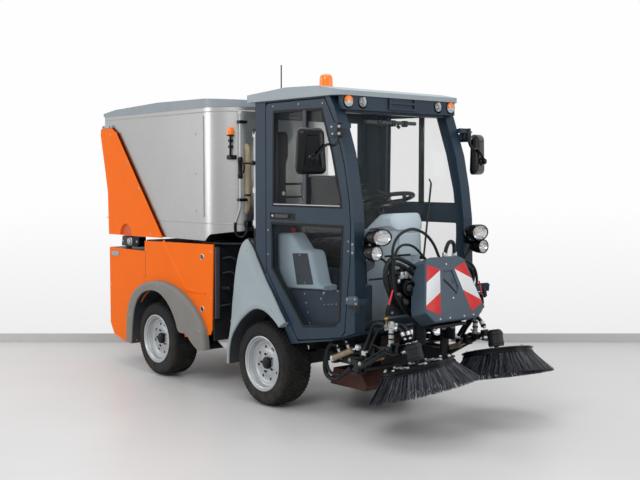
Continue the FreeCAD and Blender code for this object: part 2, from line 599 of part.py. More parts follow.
def cab_shell():
    """Side frames, pillars, header, rear wall and floor of the cab."""
    silhouette = cab_outline(SILHOUETTE_SHARES)
    door = cab_outline(DOOR_SHARES)
    outer = S.cab_half_width
    step = outer - S.frame_outer_depth
    inner = step - S.frame_inner_depth
    outer_layer = cut(side_panel(silhouette, step, outer),
                      side_panel(inset(door, -S.door_gap), step - S.overrun, outer + S.overrun))
    inner_layer = cut(side_panel(silhouette, inner, step),
                      side_panel(inset(door, S.rebate), inner - S.overrun, step + S.overrun))
    front_edge = [silhouette[10], silhouette[9], silhouette[8], silhouette[7], silhouette[6], silhouette[5],
                  silhouette[4]]
    strip = front_edge + [(x - S.pillar_wall, z) for x, z in reversed(front_edge)]
    pillar = side_panel(strip, S.pillar_inner_side, inner)
    side = fuse(outer_layer, inner_layer, pillar)
    header_front = silhouette[9][0]
    header = block((header_front - S.header_depth, header_front), centred(inner),
                   (S.cab_top - S.header_height, S.cab_top))
    sill_x, sill_z = silhouette[4]
    sill = block((sill_x - S.sill_cross * 2, sill_x - S.pillar_wall), centred(inner),
                 (sill_z, sill_z + S.sill_cross))
    hinges = [both(cut(fixed_hinge(share), cab_volume())) for share in (0.0, 1.0)]

    rear = block((S.cab_rear, S.cab_rear + S.rear_wall), centred(inner), (S.floor_high, S.cab_top))
    window_low = between(S.cab_base, S.cab_top, 0.56)
    window_high = between(S.cab_base, S.cab_top, 0.93)
    opening = block((S.cab_rear - S.overrun, S.cab_rear + S.rear_wall + S.overrun),
                    centred(inner - S.door_frame),
                    (window_low, window_high))
    node("cab_frame", fuse(side, mirrored(side), header, sill, cut(rear, opening), *hinges[0], *hinges[1]))
    rear_pane = block(around(S.cab_rear + S.rear_wall / 2, S.glass_wall / 2), centred(inner - S.door_frame),
                      (window_low, window_high))

    front = cab_outline(FLOOR_FRONT_SHARES)
    low_z = front[0][1] - S.floor_wall * 2
    step = S.floor_step_x + S.floor_wall
    footwell = [(step, S.floor_high), (step, low_z), front[0], front[1],
                (front[1][0], front[1][1] - S.floor_wall),
                (front[0][0], front[0][1] - S.floor_wall), (S.floor_step_x, low_z - S.floor_wall),
                (S.floor_step_x, S.floor_high)]
    high_floor = block((S.cab_rear + S.rear_wall, step), centred(S.cab_floor_narrow),
                       (S.floor_high - S.floor_wall, S.floor_high))
    floor = fuse(side_panel(footwell, -S.cab_floor_half, S.cab_floor_half), high_floor)
    seat_box = block((S.cab_rear + S.rear_wall, S.seat_box_front), centred(S.seat_box_half),
                     (S.floor_high, S.seat_base))
    node("cab_floor", fuse(floor, seat_box))

    screen = cab_outline(SCREEN_SHARES)
    screen[0] = (screen[0][0], S.cab_top - S.header_height - S.seat_gap)
    sheet = screen + [(x - S.glass_wall, z) for x, z in reversed(screen)]
    node("cab_glass", side_panel(sheet, -S.pillar_inner_side + S.seat_gap,
                                 S.pillar_inner_side - S.seat_gap), rear_pane)


def roof():
    """Roof skin, visor strip with its lamps, beacon, antenna and number plate frame."""
    edge_top = S.cab_top + S.roof_edge
    crown = edge_top + S.roof_crown
    middle = between(S.roof_rear, S.roof_front, 0.45)
    profile = [(S.roof_rear, S.cab_top), (S.roof_rear, edge_top), (middle, crown),
               (between(S.roof_rear, S.roof_front, 0.8), edge_top + S.roof_crown * 0.6),
               (S.roof_front, S.cab_top + S.roof_edge * 0.6), (S.roof_front, S.cab_top)]
    slab = side_panel(profile, -S.roof_half_width, S.roof_half_width)
    plan = [(S.roof_rear, -S.roof_half_width), (S.roof_front, -S.roof_half_width),
            (S.roof_front, S.roof_half_width), (S.roof_rear, S.roof_half_width)]
    corners = plan_panel(plan, S.cab_top - S.overrun, crown + S.overrun, S.roof_corner, plan[1:3])
    node("cab_roof", common(slab, corners))

    header_front = between(S.cab_rear, S.cab_nose, SILHOUETTE_SHARES[9][0])
    visor_front = header_front + S.visor_reach
    strip = block((header_front, visor_front), centred(S.visor_half_width), (S.visor_bottom, S.cab_top))
    lamp_places = [S.outer_lamp_side, S.inner_lamp_side, -S.inner_lamp_side, -S.outer_lamp_side]
    sockets = [disc(S.lamp_radius, S.visor_depth, visor_front - S.lamp_proud, side, S.roof_lamp_z, ACROSS_X)
               for side in lamp_places]
    bar = S.plate_frame_bar
    top = S.cab_top - S.plate_frame_drop
    depth = (visor_front, visor_front + bar)
    sides = [block(depth, around(S.plate_frame_half * sign, bar / 2), (top, S.cab_top)) for sign in (1, -1)]
    rungs = [block(depth, centred(S.plate_frame_half), (z, z + bar))
             for z in (top, top + S.plate_frame_drop * 0.5)]
    node("roof_visor", fuse(cut(strip, cab_volume(), *sockets), *sides, *rungs))
    node("roof_lamps", *[disc(S.lamp_radius, S.lamp_proud * 2, visor_front - S.lamp_proud, side,
                              S.roof_lamp_z,
                              ACROSS_X) for side in lamp_places])

    dome = [(ZERO, ZERO), (S.beacon_base_radius, ZERO), (S.beacon_base_radius, S.beacon_base),
            (S.beacon_radius, S.beacon_base), (S.beacon_radius * 0.94, S.beacon_base + S.beacon_height * 0.9),
            (S.beacon_radius * 0.8, S.beacon_base + S.beacon_height), (ZERO, S.beacon_base + S.beacon_height)]
    seat_z = crown - S.roof_crown * 0.45
    node("beacon", cut(place(turned("XZ_Plane", dome), x=S.beacon_x, z=seat_z), slab_copy(profile)))
    node("antenna", cut(disc(S.antenna_radius, S.antenna_height, S.antenna_x, S.antenna_side, edge_top),
                        slab_copy(profile)))


def slab_copy(profile):
    """The roof's own volume, used to seat what stands on it."""
    return side_panel(profile, -S.roof_half_width, S.roof_half_width)


def hinge_axis(share, out=ZERO):
    """A point on the leaning door hinge axis, on the left side."""
    return (between(S.hinge_low_x, S.hinge_high_x, share), S.hinge_side + out,
            between(S.hinge_low_z, S.hinge_high_z, share))


def doors():
    """Glazed doors with their hinges and handles."""
    outer = S.cab_half_width
    inner = outer - S.door_thickness
    outline = cab_outline(DOOR_SHARES)
    upper = cab_outline(UPPER_WINDOW_SHARES)
    lower = cab_outline(LOWER_WINDOW_SHARES)
    panel = side_panel(outline, inner, outer, S.corner_radius,
                       [outline[0], outline[2], outline[4], outline[11]])
    windows = [side_panel(shape, inner - S.overrun, outer + S.overrun, S.window_radius)
               for shape in (upper, lower)]
    recess = block((S.handle_x, S.handle_x + S.handle_length), (outer - S.handle_depth, outer + S.overrun),
                   (S.handle_z, S.handle_z + S.handle_height))
    door = cut(panel, *windows, recess)
    pane_place = (inner + S.door_thickness / 2 - S.glass_wall / 2,
                  inner + S.door_thickness / 2 + S.glass_wall / 2)
    panes = [side_panel(shape, *pane_place, S.window_radius) for shape in (upper, lower)]
    handle = block((S.handle_x + S.seat_gap, S.handle_x + S.handle_length - S.seat_gap),
                   (outer - S.handle_depth + S.seat_gap, outer - S.hinge_leaf),
                   (S.handle_z + S.seat_gap, S.handle_z + S.handle_height - S.seat_gap))
    leaves = []
    for share in (0.0, 1.0):
        x, y, z = hinge_axis(share)
        low = hinge_axis(share - hinge_share(S.hinge_half_height))
        high = hinge_axis(share - hinge_share(S.seat_gap))
        plate = block((x - S.hinge_leaf_length, x - S.hinge_knuckle * 0.4), (outer, outer + S.hinge_leaf),
                      (z - S.hinge_half_height, z - S.hinge_play))
        web = block((x - S.hinge_knuckle, x - S.hinge_knuckle * 0.4), (outer, y),
                    (z - S.hinge_half_height, z - S.hinge_play))
        bore = rod(S.hinge_pin_radius + S.seat_gap,
                   hinge_axis(share - hinge_share(S.hinge_half_height * 2)), hinge_axis(share))
        leaves.append(cut(fuse(plate, web, rod(S.hinge_knuckle, low, high)), bore))
    for side in ("left", "right"):
        keep = (lambda piece: piece) if side == "left" else mirrored
        node(f"door_{side}", keep(door))
        node(f"door_glass_{side}", *[keep(pane) for pane in panes])
        node(f"door_hardware_{side}", keep(handle), *[keep(leaf) for leaf in leaves])

    shell = rounded_box(S.mirror_depth, S.mirror_width, S.mirror_height, S.mirror_corner)
    shell = moved(shell, S.mirror_x, S.mirror_side, S.mirror_z, FreeCAD.Rotation(Vector(0, 0, 1), MIRROR_TOE))
    start = hinge_axis(1.0 - hinge_share(S.hinge_half_height + S.hinge_leaf + S.seat_gap))
    elbow = hinge_axis(1.0 - hinge_share(S.mirror_arm_drop))
    arm = bent_bar(S.mirror_arm_radius,
                   [start, elbow, (S.mirror_x, S.mirror_side, S.mirror_z + S.mirror_ball_rise)])
    node("mirrors", *both(fuse(arm, shell)))


def hinge_share(length):
    """A length as a share of the hinge axis between its two marks."""
    run = [S.hinge_high_x.value - S.hinge_low_x.value, S.hinge_high_z.value - S.hinge_low_z.value]
    return length.value / math.hypot(*run)


def fixed_hinge(share):
    """The half of a left door hinge that stays on the cab: a web, a knuckle and the pin."""
    x, y, z = hinge_axis(share)
    web = block((x - S.hinge_knuckle, x), (S.cab_half_width - S.frame_outer_depth, y),
                (z + S.hinge_play, z + S.hinge_half_height))
    reach = block((x - S.hinge_leaf_length * 0.7, x), (S.cab_half_width, S.cab_half_width + S.hinge_leaf),
                  (z + S.hinge_play, z + S.hinge_half_height))
    knuckle = rod(S.hinge_knuckle, hinge_axis(share + hinge_share(S.seat_gap)),
                  hinge_axis(share + hinge_share(S.hinge_half_height)))
    pin = rod(S.hinge_pin_radius, hinge_axis(share - hinge_share(S.hinge_half_height + S.hinge_leaf)),
              hinge_axis(share + hinge_share(S.hinge_half_height)))
    return fuse(web, reach, knuckle, pin)


def cab_volume():
    """The whole volume inside the cab's silhouette, used to seat what is fastened outside."""
    return side_panel(cab_outline(SILHOUETTE_SHARES), -S.cab_half_width, S.cab_half_width)


def rounded_box(depth, width, height, radius):
    """A box about the origin with its long edges rounded."""
    outline = [(-width / 2, -height / 2), (width / 2, -height / 2), (width / 2, height / 2),
               (-width / 2, height / 2)]
    body = padded("YZ_Plane", outline, depth)
    round_edges(body, Vector(1, 0, 0), radius)
    return place(body, x=-depth / 2)


def cab_inside():
    """Seat on its box, side consoles, steering column and wheel."""
    half = S.seat_width / 2
    rear = S.seat_x - S.seat_back_depth
    profile = [(rear, S.seat_base), (S.seat_x + S.seat_length * 0.8, S.seat_base),
               (S.seat_x + S.seat_length * 0.8, S.seat_base + S.seat_cushion),
               (S.seat_x, S.seat_base + S.seat_cushion * 0.9),
               (S.seat_x - S.seat_back_depth * 0.4, S.seat_base + S.seat_back_height),
               (rear - S.seat_back_depth * 0.1, S.seat_base + S.seat_back_height)]
    node("seat", side_panel(profile, -half, half))

    console = common(side_panel(cab_outline(CONSOLE_SHARES), S.console_inner,
                                S.console_inner + S.console_wall), cab_volume())
    node("side_consoles", *both(console))
    column = side_panel(cab_outline(COLUMN_SHARES), -S.column_half_width, S.column_half_width)
    lean = math.radians(STEERING_LEAN)
    steering_x = between(S.cab_rear, S.cab_nose, STEERING_SHARES[0])
    steering_z = between(S.cab_base, S.cab_top, STEERING_SHARES[1])
    shaft_top = (steering_x + (S.steering_hub + S.seat_gap) * math.sin(lean), ZERO,
                 steering_z - (S.steering_hub + S.seat_gap) * math.cos(lean))
    shaft_low = (steering_x + S.steering_hub * 4 * math.sin(lean), ZERO,
                 steering_z - S.steering_hub * 4 * math.cos(lean))
    node("dash_column", fuse(column, rod(S.column_radius, shaft_low, shaft_top)))

    tilt = FreeCAD.Rotation(Vector(0, 1, 0), -STEERING_LEAN)
    rim = doc.addObject("Part::Torus", "Rim")
    bind(rim, Radius1=S.steering_radius, Radius2=S.steering_rim)
    hub = disc(S.steering_hub, S.steering_hub, z=-S.steering_hub)
    spokes = [rod(S.steering_rim * 0.8, (ZERO, ZERO, -S.steering_hub / 2),
                  (S.steering_radius * math.cos(angle), S.steering_radius * math.sin(angle), ZERO))
              for angle in (math.pi / 2, math.pi * 7 / 6, math.pi * 11 / 6)]
    knob = rod(S.steering_rim, (ZERO, S.steering_radius, ZERO),
               (ZERO, S.steering_radius, S.steering_hub * 1.4))
    node("steering_wheel", moved(fuse(rim, hub, *spokes, knob), steering_x, ZERO, steering_z, tilt))


def leaning_cut(inwards):
    """What is cut off the outside of a front fender, so that its side leans in above the arch."""
    lip = S.fender_lip_side - inwards
    top = S.cab_half_width + S.hinge_leaf - inwards
    high = S.fender_peak + S.overrun
    outline = [(lip, S.arch_z + S.arch_radius), (lip + S.overrun * 4, S.arch_z + S.arch_radius),
               (lip + S.overrun * 4, high), (top, high)]
    return place(padded("YZ_Plane", outline, S.fender_front - S.fender_rear + S.overrun * 2),
                 x=S.fender_rear - S.overrun)


def front_fenders():
    """Hollow light fenders whose sides lean in above the wheel arch."""
    outline = shares_in(FENDER_SHARES, S.fender_rear, S.fender_front, S.fender_low, S.fender_peak)
    lip, root = S.fender_lip_side, S.fender_inner_side
    solid = cut(side_panel(outline, root, lip), leaning_cut(ZERO))
    core = cut(side_panel(inset(outline, S.fender_wall), root - S.overrun, lip - S.fender_wall),
               leaning_cut(S.fender_wall))
    arch = disc(S.arch_radius, lip, S.arch_x, root - S.overrun, S.arch_z, ACROSS_Y)
    tunnel = disc(S.arch_radius + S.fender_wall, lip, S.arch_x, root - S.overrun, S.arch_z, ACROSS_Y)
    grown = side_panel(inset(cab_outline(SILHOUETTE_SHARES), -S.seat_gap), root - S.overrun,
                       S.cab_half_width + S.seat_gap)
    fender = cut(solid, cut(core, tunnel), arch, grown)
    node("front_fenders", *both(fender))


def lamps_front():
    """Headlamps and work lamps on arms from the pillars."""
    pillar_x, pillar_z = cab_outline(SILHOUETTE_SHARES)[6]
    pieces = []
    for x, side, z, radius, length in ((S.headlamp_x, S.headlamp_side, S.headlamp_z, S.headlamp_radius,
                                        S.headlamp_length),
                                       (S.work_lamp_x, S.work_lamp_side, S.work_lamp_z, S.work_lamp_radius,
                                        S.work_lamp_length)):
        pieces.append(disc(radius, length, x - length, side, z, ACROSS_X))
        pieces.append(rod(S.lamp_arm_radius, (pillar_x - S.pillar_wall * 0.5, S.work_lamp_side, z),
                          (x - length * 0.5, side, z)))
    pieces.append(rod(S.lamp_arm_radius,
                      (S.work_lamp_x - S.work_lamp_length, S.work_lamp_side, S.work_lamp_z),
                      (S.work_lamp_x - S.work_lamp_length, S.headlamp_side, S.headlamp_z)))
    node("headlamps", *both(cut(fuse(*pieces), cab_volume())))


def front_cover():
    """Leaning cover with a slot, over the hydraulic block on the front carrier."""
    top = S.cover_height
    outline = [(-S.cover_low_half, ZERO), (S.cover_low_half, ZERO), (S.cover_wide_half, top * 0.21),
               (S.cover_shoulder_half, top * 0.93), (S.cover_top_half, top), (-S.cover_top_half, top),
               (-S.cover_shoulder_half, top * 0.93), (-S.cover_wide_half, top * 0.21)]
    outer = place(padded("YZ_Plane", outline, S.cover_depth), x=-S.cover_depth)
    inner = place(padded("YZ_Plane", inset(outline, S.cover_wall), S.cover_depth),
                  x=-S.cover_depth - S.cover_wall)
    slot = block((-S.overrun, S.overrun), centred(S.cover_slot_half),
                 (top * 0.4, top * 0.4 + S.cover_slot_height))
    lean = FreeCAD.Rotation(Vector(0, 1, 0), -COVER_LEAN)
    node("front_cover", moved(cut(outer, inner, slot), S.cover_x, ZERO, S.cover_bottom, lean))
    screen = cab_outline(SCREEN_SHARES)
    foot, tip = screen[4], screen[2]
    stand = S.wiper_radius * 4
    stub = disc(S.wiper_radius * 2, stand, foot[0] + S.wiper_seat, S.wiper_side, foot[1], ACROSS_X)
    arm = rod(S.wiper_radius, (foot[0] + stand, S.wiper_side, foot[1]),
              (tip[0] + stand, S.wiper_side * 3, tip[1]))
    blade = rod(S.wiper_radius * 0.8, (tip[0] + stand, S.wiper_side * 3, tip[1]),
                (tip[0] + S.wiper_radius * 1.2, S.wiper_side * 3, tip[1] + stand))
    node("wiper", fuse(stub, arm, blade))


def behind_cab():
    """Washer tube and hose reel on the cab, water lance on the hopper."""
    tube = disc(S.tube_radius, S.washer_tube_high - S.washer_tube_low, S.washer_tube_x, -S.tube_side,
                S.washer_tube_low)
    clips = [block((S.washer_tube_x, S.cab_rear), around(-S.tube_side, S.tube_radius * 0.7),
                   around(z, S.tube_clip))
             for z in (between(S.washer_tube_low, S.washer_tube_high, 0.2),
                       between(S.washer_tube_low, S.washer_tube_high, 0.9))]
    node("washer_tube", fuse(tube, *clips))
    reel = disc(S.reel_radius, S.cab_rear - S.reel_x, S.reel_x, -S.reel_side, S.reel_z, ACROSS_X)
    node("hose_reel", reel)
    lance = disc(S.lance_radius, S.lance_high - S.lance_low, S.lance_x, -S.tube_side, S.lance_low)
    stays = [rod(S.lance_radius, (S.lance_x, -S.tube_side, z),
                 (S.hopper_front - S.hopper_corner * 0.3, -S.tube_side + S.hopper_corner * 0.35, z))
             for z in (between(S.lance_low, S.lance_high, 0.25), between(S.lance_low, S.lance_high, 0.8))]
    hopper_volume = hopper_plan(S.hopper_half_width, S.hopper_floor, S.hopper_top, S.hopper_corner)
    node("water_lance", cut(fuse(lance, *stays), hopper_volume))


def hopper_plan(half, low, high, radius):
    """The hopper's plan with round front corners, between two heights."""
    plan = [(S.hopper_rear - S.overrun, -half), (S.hopper_front, -half), (S.hopper_front, half),
            (S.hopper_rear - S.overrun, half)]
    return plan_panel(plan, low, high, radius, plan[1:3])


def rear_hood():
    """Engine hood panels, deck, fenders, grille, lamps and bumper of the rear module."""
    outline = shares_in(HOOD_SHARES, S.hood_rear, S.hood_front, S.hood_low, S.hood_top)
    outer = S.hood_half_width
    inner = outer - S.hood_wall
    arch_hole = disc(S.rear_arch_radius + S.liner_wall + S.seat_gap, outer, S.rear_arch_x,
                     inner - S.overrun, S.rear_arch_z, ACROSS_Y)
    panel = cut(side_panel(outline, inner, outer), arch_hole)
    node("hood_sides", *both(panel))

    step = S.hood_step_x
    top = S.hood_top - S.deck_drop
    rear_z = S.hood_step_z - S.hinge_play
    deck_line = [(S.hood_rear + S.hood_wall, rear_z), (step + S.deck_wall, rear_z), (step + S.deck_wall, top),
                 (S.bulkhead_x + S.bulkhead_wall, top)]
    under = [(S.bulkhead_x + S.bulkhead_wall, top - S.deck_wall), (step + S.deck_wall * 2, top - S.deck_wall),
             (step + S.deck_wall * 2, rear_z - S.deck_wall),
             (S.hood_rear + S.hood_wall, rear_z - S.deck_wall)]
    deck = side_panel(deck_line + under, -inner, inner)
    pads = [block(around(between(step, S.bulkhead_x, 0.7), S.tilt_lug_half),
                  around(S.tilt_side * sign, S.tilt_lug_half), (top, S.hopper_floor - S.seat_gap))
            for sign in (1, -1)]
    node("hood_deck", cut(fuse(deck, *pads), *tilt_lugs(S.seat_gap)))

    rear_low = outline[1][1]
    rear = block((S.hood_rear, S.hood_rear + S.hood_wall), centred(inner), (rear_low, S.hood_step_z))
    hole = block((S.hood_rear - S.overrun, S.hood_rear + S.overrun), centred(S.grille_half_width),
                 (S.grille_low, S.grille_high))
    node("hood_rear", cut(rear, hole))
    bars = [block((S.hood_rear, S.hood_rear + S.hood_wall), centred(S.grille_half_width - S.seat_gap),
                  around(between(S.grille_low, S.grille_high, share), S.grille_wall / 2))
            for share in (0.1, 0.26, 0.42, 0.58, 0.74, 0.9)]
    posts = [block((S.hood_rear + S.hood_wall / 2, S.hood_rear + S.hood_wall),
                   around(S.grille_half_width * share, S.grille_wall / 2),
                   (S.grille_low + S.seat_gap, S.grille_high - S.seat_gap))
             for share in (-0.9, -0.45, 0, 0.45, 0.9)]
    node("rear_grille", fuse(*bars, *posts))

    fender_outline = shares_in(REAR_FENDER_SHARES, S.rear_fender_rear, S.rear_fender_front,
                               S.rear_fender_low, S.rear_fender_high)
    solid = flared(fender_outline, S.rear_flare_inset, outer, outer + S.seat_gap, S.rear_fender_side)
    arch = disc(S.rear_arch_radius, S.rear_fender_side, S.rear_arch_x, S.liner_inner_side - S.overrun,
                S.rear_arch_z, ACROSS_Y)
    liner = cut(disc(S.rear_arch_radius + S.liner_wall,
                     S.rear_fender_side - S.liner_inner_side - S.liner_wall * 2, S.rear_arch_x,
                     S.liner_inner_side, S.rear_arch_z, ACROSS_Y),
                block((S.hood_rear, S.hood_front), (ZERO, S.rear_fender_side),
                      (-S.rear_arch_radius, S.rear_arch_z)))
    node("rear_fenders", *both(cut(fuse(solid, liner), arch)))

    node("engine", block((S.engine_rear, S.engine_front), centred(S.engine_half_width),
                         (S.rail_bottom + S.rail_height, S.engine_top)))
    lamp = block((S.hood_rear - S.tail_lamp_depth, S.hood_rear),
                 around(S.tail_lamp_side, S.tail_lamp_width / 2),
                 (S.tail_lamp_z, S.tail_lamp_z + S.tail_lamp_height))
    node("tail_lamps", *both(lamp))
    bumper = block((S.hood_rear - S.bumper_depth, S.hood_rear), centred(S.bumper_half_width),
                   (S.bumper_z, S.bumper_z + S.bumper_height))
    eye_x = S.hood_rear - S.bumper_depth - S.tow_eye_reach
    eye_z = around(S.bumper_z + S.bumper_height / 2, S.tow_eye_wall / 2)
    eye = fuse(block((eye_x, S.hood_rear - S.bumper_depth), centred(S.tow_eye_half), eye_z),
               disc(S.tow_eye_half, S.tow_eye_wall, eye_x, ZERO, eye_z[0]))
    node("rear_bumper", cut(fuse(bumper, eye),
                            disc(S.tow_hole_radius, S.bumper_height, eye_x, ZERO, S.bumper_z)))


def hopper():
    """Steel hopper with its lid, tilting at the rear, and the rear hatch hinged at its top."""
    half = S.hopper_half_width
    outline = shares_in(HOPPER_SHARES, S.hopper_rear, S.hopper_front, S.hopper_floor, S.hopper_top)
    outer = common(side_panel(outline, -half, half),
                   hopper_plan(half, S.hopper_floor - S.overrun, S.hopper_top + S.overrun, S.hopper_corner))
    wall = S.hopper_wall
    inside = [(x - wall if index > 3 else x - S.overrun, z + wall if 2 < index < 7 else z + S.overrun)
              for index, (x, z) in enumerate(outline)]
    core = common(side_panel(inside, -half + wall, half - wall),
                  plan_panel([(S.hopper_rear - S.overrun * 2, -half + wall),
                              (S.hopper_front - wall, -half + wall),
                              (S.hopper_front - wall, half - wall),
                              (S.hopper_rear - S.overrun * 2, half - wall)],
                             S.hopper_floor - S.overrun, S.hopper_top + S.overrun, S.hopper_corner - wall,
                             [(S.hopper_front - wall, -half + wall), (S.hopper_front - wall, half - wall)]))
    feet = []
    for sign in (1, -1):
        side = (S.tilt_side + S.tilt_lug + S.seat_gap) * sign
        foot = fuse(block(around(S.tilt_x, S.tilt_lug_half), around(side, S.tilt_lug / 2),
                          (S.tilt_z, S.hopper_floor + S.hopper_wall / 2)),
                    disc(S.tilt_lug_half, S.tilt_lug, S.tilt_x, side - S.tilt_lug / 2, S.tilt_z, ACROSS_Y))
        feet.append(cut(foot,
                        disc(S.tilt_radius + S.seat_gap, S.tilt_lug * 3, S.tilt_x, side - S.tilt_lug * 1.5,
                             S.tilt_z, ACROSS_Y)))
    lugs = [cut(hatch_lug(side, S.hopper_rear + S.hopper_wall),
                disc(S.hatch_hinge_radius + S.seat_gap, S.hopper_half_width * 2, S.hatch_hinge_x,
                     -S.hopper_half_width, S.hatch_hinge_z, ACROSS_Y))
            for side in (S.hatch_lug_side, -S.hatch_lug_side)]
    node("hopper", fuse(cut(outer, core), *feet, *lugs, *top_bar()))

    lid_low = S.hopper_top
    lid_line = shares_in(LID_SHARES, S.lid_rear, S.hopper_front + S.liner_wall, lid_low,
                         lid_low + S.lid_height)
    edge = S.lid_half_width
    plan = [(S.lid_rear, -edge), (S.hopper_front + S.liner_wall, -edge),
            (S.hopper_front + S.liner_wall, edge), (S.lid_rear, edge)]
    node("hopper_lid", common(side_panel(lid_line, -edge, edge),
                              plan_panel(plan, lid_low - S.overrun, lid_low + S.lid_height + S.overrun,
                                         S.hopper_corner, plan[1:3])))

    hatch = shares_in(HATCH_SHARES, S.hatch_rear, S.hatch_front, S.hatch_low, S.hatch_top)
    shell_inner = [(x + S.hatch_wall, z) for x, z in hatch]
    shell_inner = [(x + (S.overrun * 3 if index in (1, 2, 3) else ZERO),
                    z + (S.overrun if index < 2 else (-S.overrun if index in (3, 4) else ZERO)))
                   for index, (x, z) in enumerate(shell_inner)]
    shell = cut(side_panel(hatch, -S.hatch_half_width, S.hatch_half_width),
                side_panel(shell_inner, -S.hatch_half_width + S.hatch_wall,
                           S.hatch_half_width - S.hatch_wall))
    shell = cut(shell, disc(S.pocket_radius, (S.hatch_half_width + S.overrun) * 2, S.pocket_x,
                            -S.hatch_half_width - S.overrun, S.hatch_low, ACROSS_Y))
    strip = block((between(S.hatch_rear, S.hatch_front, 0.007), S.hatch_hinge_x + S.hatch_hinge_radius),
                  centred(S.hatch_half_width),
                  (S.hatch_top - S.hatch_wall, S.hatch_top))
    pin = disc(S.hatch_hinge_radius, (S.hatch_lug_side + S.tilt_lug * 2) * 2, S.hatch_hinge_x,
               -S.hatch_lug_side - S.tilt_lug * 2, S.hatch_hinge_z, ACROSS_Y)
    ears = [fuse(block(around(S.hatch_hinge_x, S.hatch_hinge_radius), around(side, S.tilt_lug / 2),
                       (S.hatch_top - S.hatch_wall, S.hatch_hinge_z)))
            for side in (S.hatch_lug_side + S.tilt_lug * 1.5, -S.hatch_lug_side - S.tilt_lug * 1.5)]
    node("hopper_hatch", fuse(shell, strip, pin, *ears))


def swing_place():
    """The middle of the left swing pin."""
    return S.swing_x, S.lift_arm_side + S.lift_arm_half + S.swing_radius + S.brush_clearance, S.swing_z


def hatch_lug(side, reach):
    """A lug round the hatch's hinge line, reaching forward to the hopper."""
    half = S.tilt_lug / 2
    return fuse(block((S.hatch_hinge_x, reach), around(side, half),
                      around(S.hatch_hinge_z, S.hatch_hinge_radius)),
                disc(S.hatch_hinge_radius * 2, S.tilt_lug, S.hatch_hinge_x, side - half, S.hatch_hinge_z,
                     ACROSS_Y))


def top_bar():
    """The bar that ties the hopper's side walls above the hatch."""
    return [block((S.hopper_rear, S.hopper_rear + S.hopper_wall), centred(S.hopper_half_width),
                  (S.hatch_top + S.hatch_gap, S.hopper_top))]


def sweeping_gear():
    """Lift frame, two brush arms with their brushes, and the suction mouth on its duct."""
    arm_y = around(S.lift_arm_side, S.lift_arm_half)
    plate = block((S.lift_x - S.lift_arm_height / 2, S.swing_x + S.swing_radius), arm_y,
                  around(S.lift_z, S.lift_arm_height / 2))
    hole = disc(S.lift_pin_radius + S.seat_gap, S.lift_arm_half * 6, S.lift_x,
                S.lift_arm_side - S.lift_arm_half * 3, S.lift_z, ACROSS_Y)
    plate = cut(plate, hole)
    tie_x = S.swing_x + S.swing_radius * 0.3
    x, y, z = swing_place()
    tie_z = z - S.swing_height * 0.27
    tie = rod(S.lift_pin_radius, (tie_x, -S.lift_arm_side, tie_z), (tie_x, S.lift_arm_side, tie_z))
    pin = disc(S.swing_pin_radius, S.swing_height, x, y, z - S.swing_height / 2)
    shelf = S.lift_arm_half
    forks = [block(around(x, S.swing_radius), (S.lift_arm_side, y + S.swing_radius), (low, low + shelf))
             for low in (z - S.swing_height / 2, z + S.swing_height / 2 - shelf)]
    cheek = block(around(x, S.swing_radius), arm_y, around(z, S.swing_height / 2))
    side = fuse(pin, *forks, cheek)
    node("lift_frame", fuse(plate, mirrored(plate), tie, side, mirrored(side)))

    tilt = brush_tilt()
    arm = brush_arm()
    for name, sign in (("left", 1), ("right", -1)):
        node(f"brush_arm_{name}", arm if sign > 0 else mirrored(arm))
        brush = moved(brush_shape(), S.brush_x, S.brush_side * sign, S.brush_z,
                      tilt if sign > 0 else mirrored_turn(tilt))
        node(f"brush_{name}", brush)

    mouth_line = [(S.mouth_rear, S.mouth_low), (S.mouth_front - S.mouth_chamfer * 0.3, S.mouth_low),
                  (S.mouth_front, S.mouth_low + S.mouth_chamfer * 0.5),
                  (S.mouth_front - S.mouth_chamfer, S.mouth_high),
                  (S.mouth_rear + S.mouth_chamfer * 0.5, S.mouth_high)]
    shell = cut(side_panel(mouth_line, -S.mouth_half_width, S.mouth_half_width),
                side_panel([(x, z - S.overrun if index in (0, 1) else z)
                            for index, (x, z) in enumerate(inset(mouth_line, S.mouth_wall))],
                           -S.mouth_half_width + S.mouth_wall, S.mouth_half_width - S.mouth_wall))
    middle = between(S.mouth_rear, S.mouth_front, 0.5)
    sleeve = block(around(middle, S.sleeve_half_length), centred(S.sleeve_half_width),
                   (S.mouth_high - S.mouth_wall / 2, S.sleeve_top))
    bore = block(around(middle, S.sleeve_half_length - S.sleeve_wall),
                 centred(S.sleeve_half_width - S.sleeve_wall),
                 (S.mouth_high - S.overrun, S.sleeve_top + S.overrun))
    node("suction_mouth", cut(fuse(shell, sleeve), bore))


def brush_tilt():
    """The turn that leans the left brush: its front and its inner side up."""
    normal = Vector(-BRUSH_RISE, BRUSH_CANT, 1)
    return FreeCAD.Rotation(Vector(0, 0, 1), normal)


def mirrored_turn(turn):
    """The same turn seen in the mirror across the middle plane."""
    axis = turn.Axis
    return FreeCAD.Rotation(Vector(-axis.x, axis.y, -axis.z), turn.Angle * 180 / math.pi)


def brush_shape():
    """A brush about its own upright axis: a ring plate with bristles that spread downwards."""
    plate = S.brush_plate / 2
    inner = S.brush_ring_radius * 0.62
    bore = S.shaft_radius + S.seat_gap
    outline = [(bore, plate), (S.brush_ring_radius, plate), (S.brush_ring_radius, -plate),
               (S.brush_tip_radius, -S.brush_drop),
               (S.brush_tip_radius * 0.72, -S.brush_drop), (inner, -plate), (bore, -plate)]
    return turned("XZ_Plane", outline)


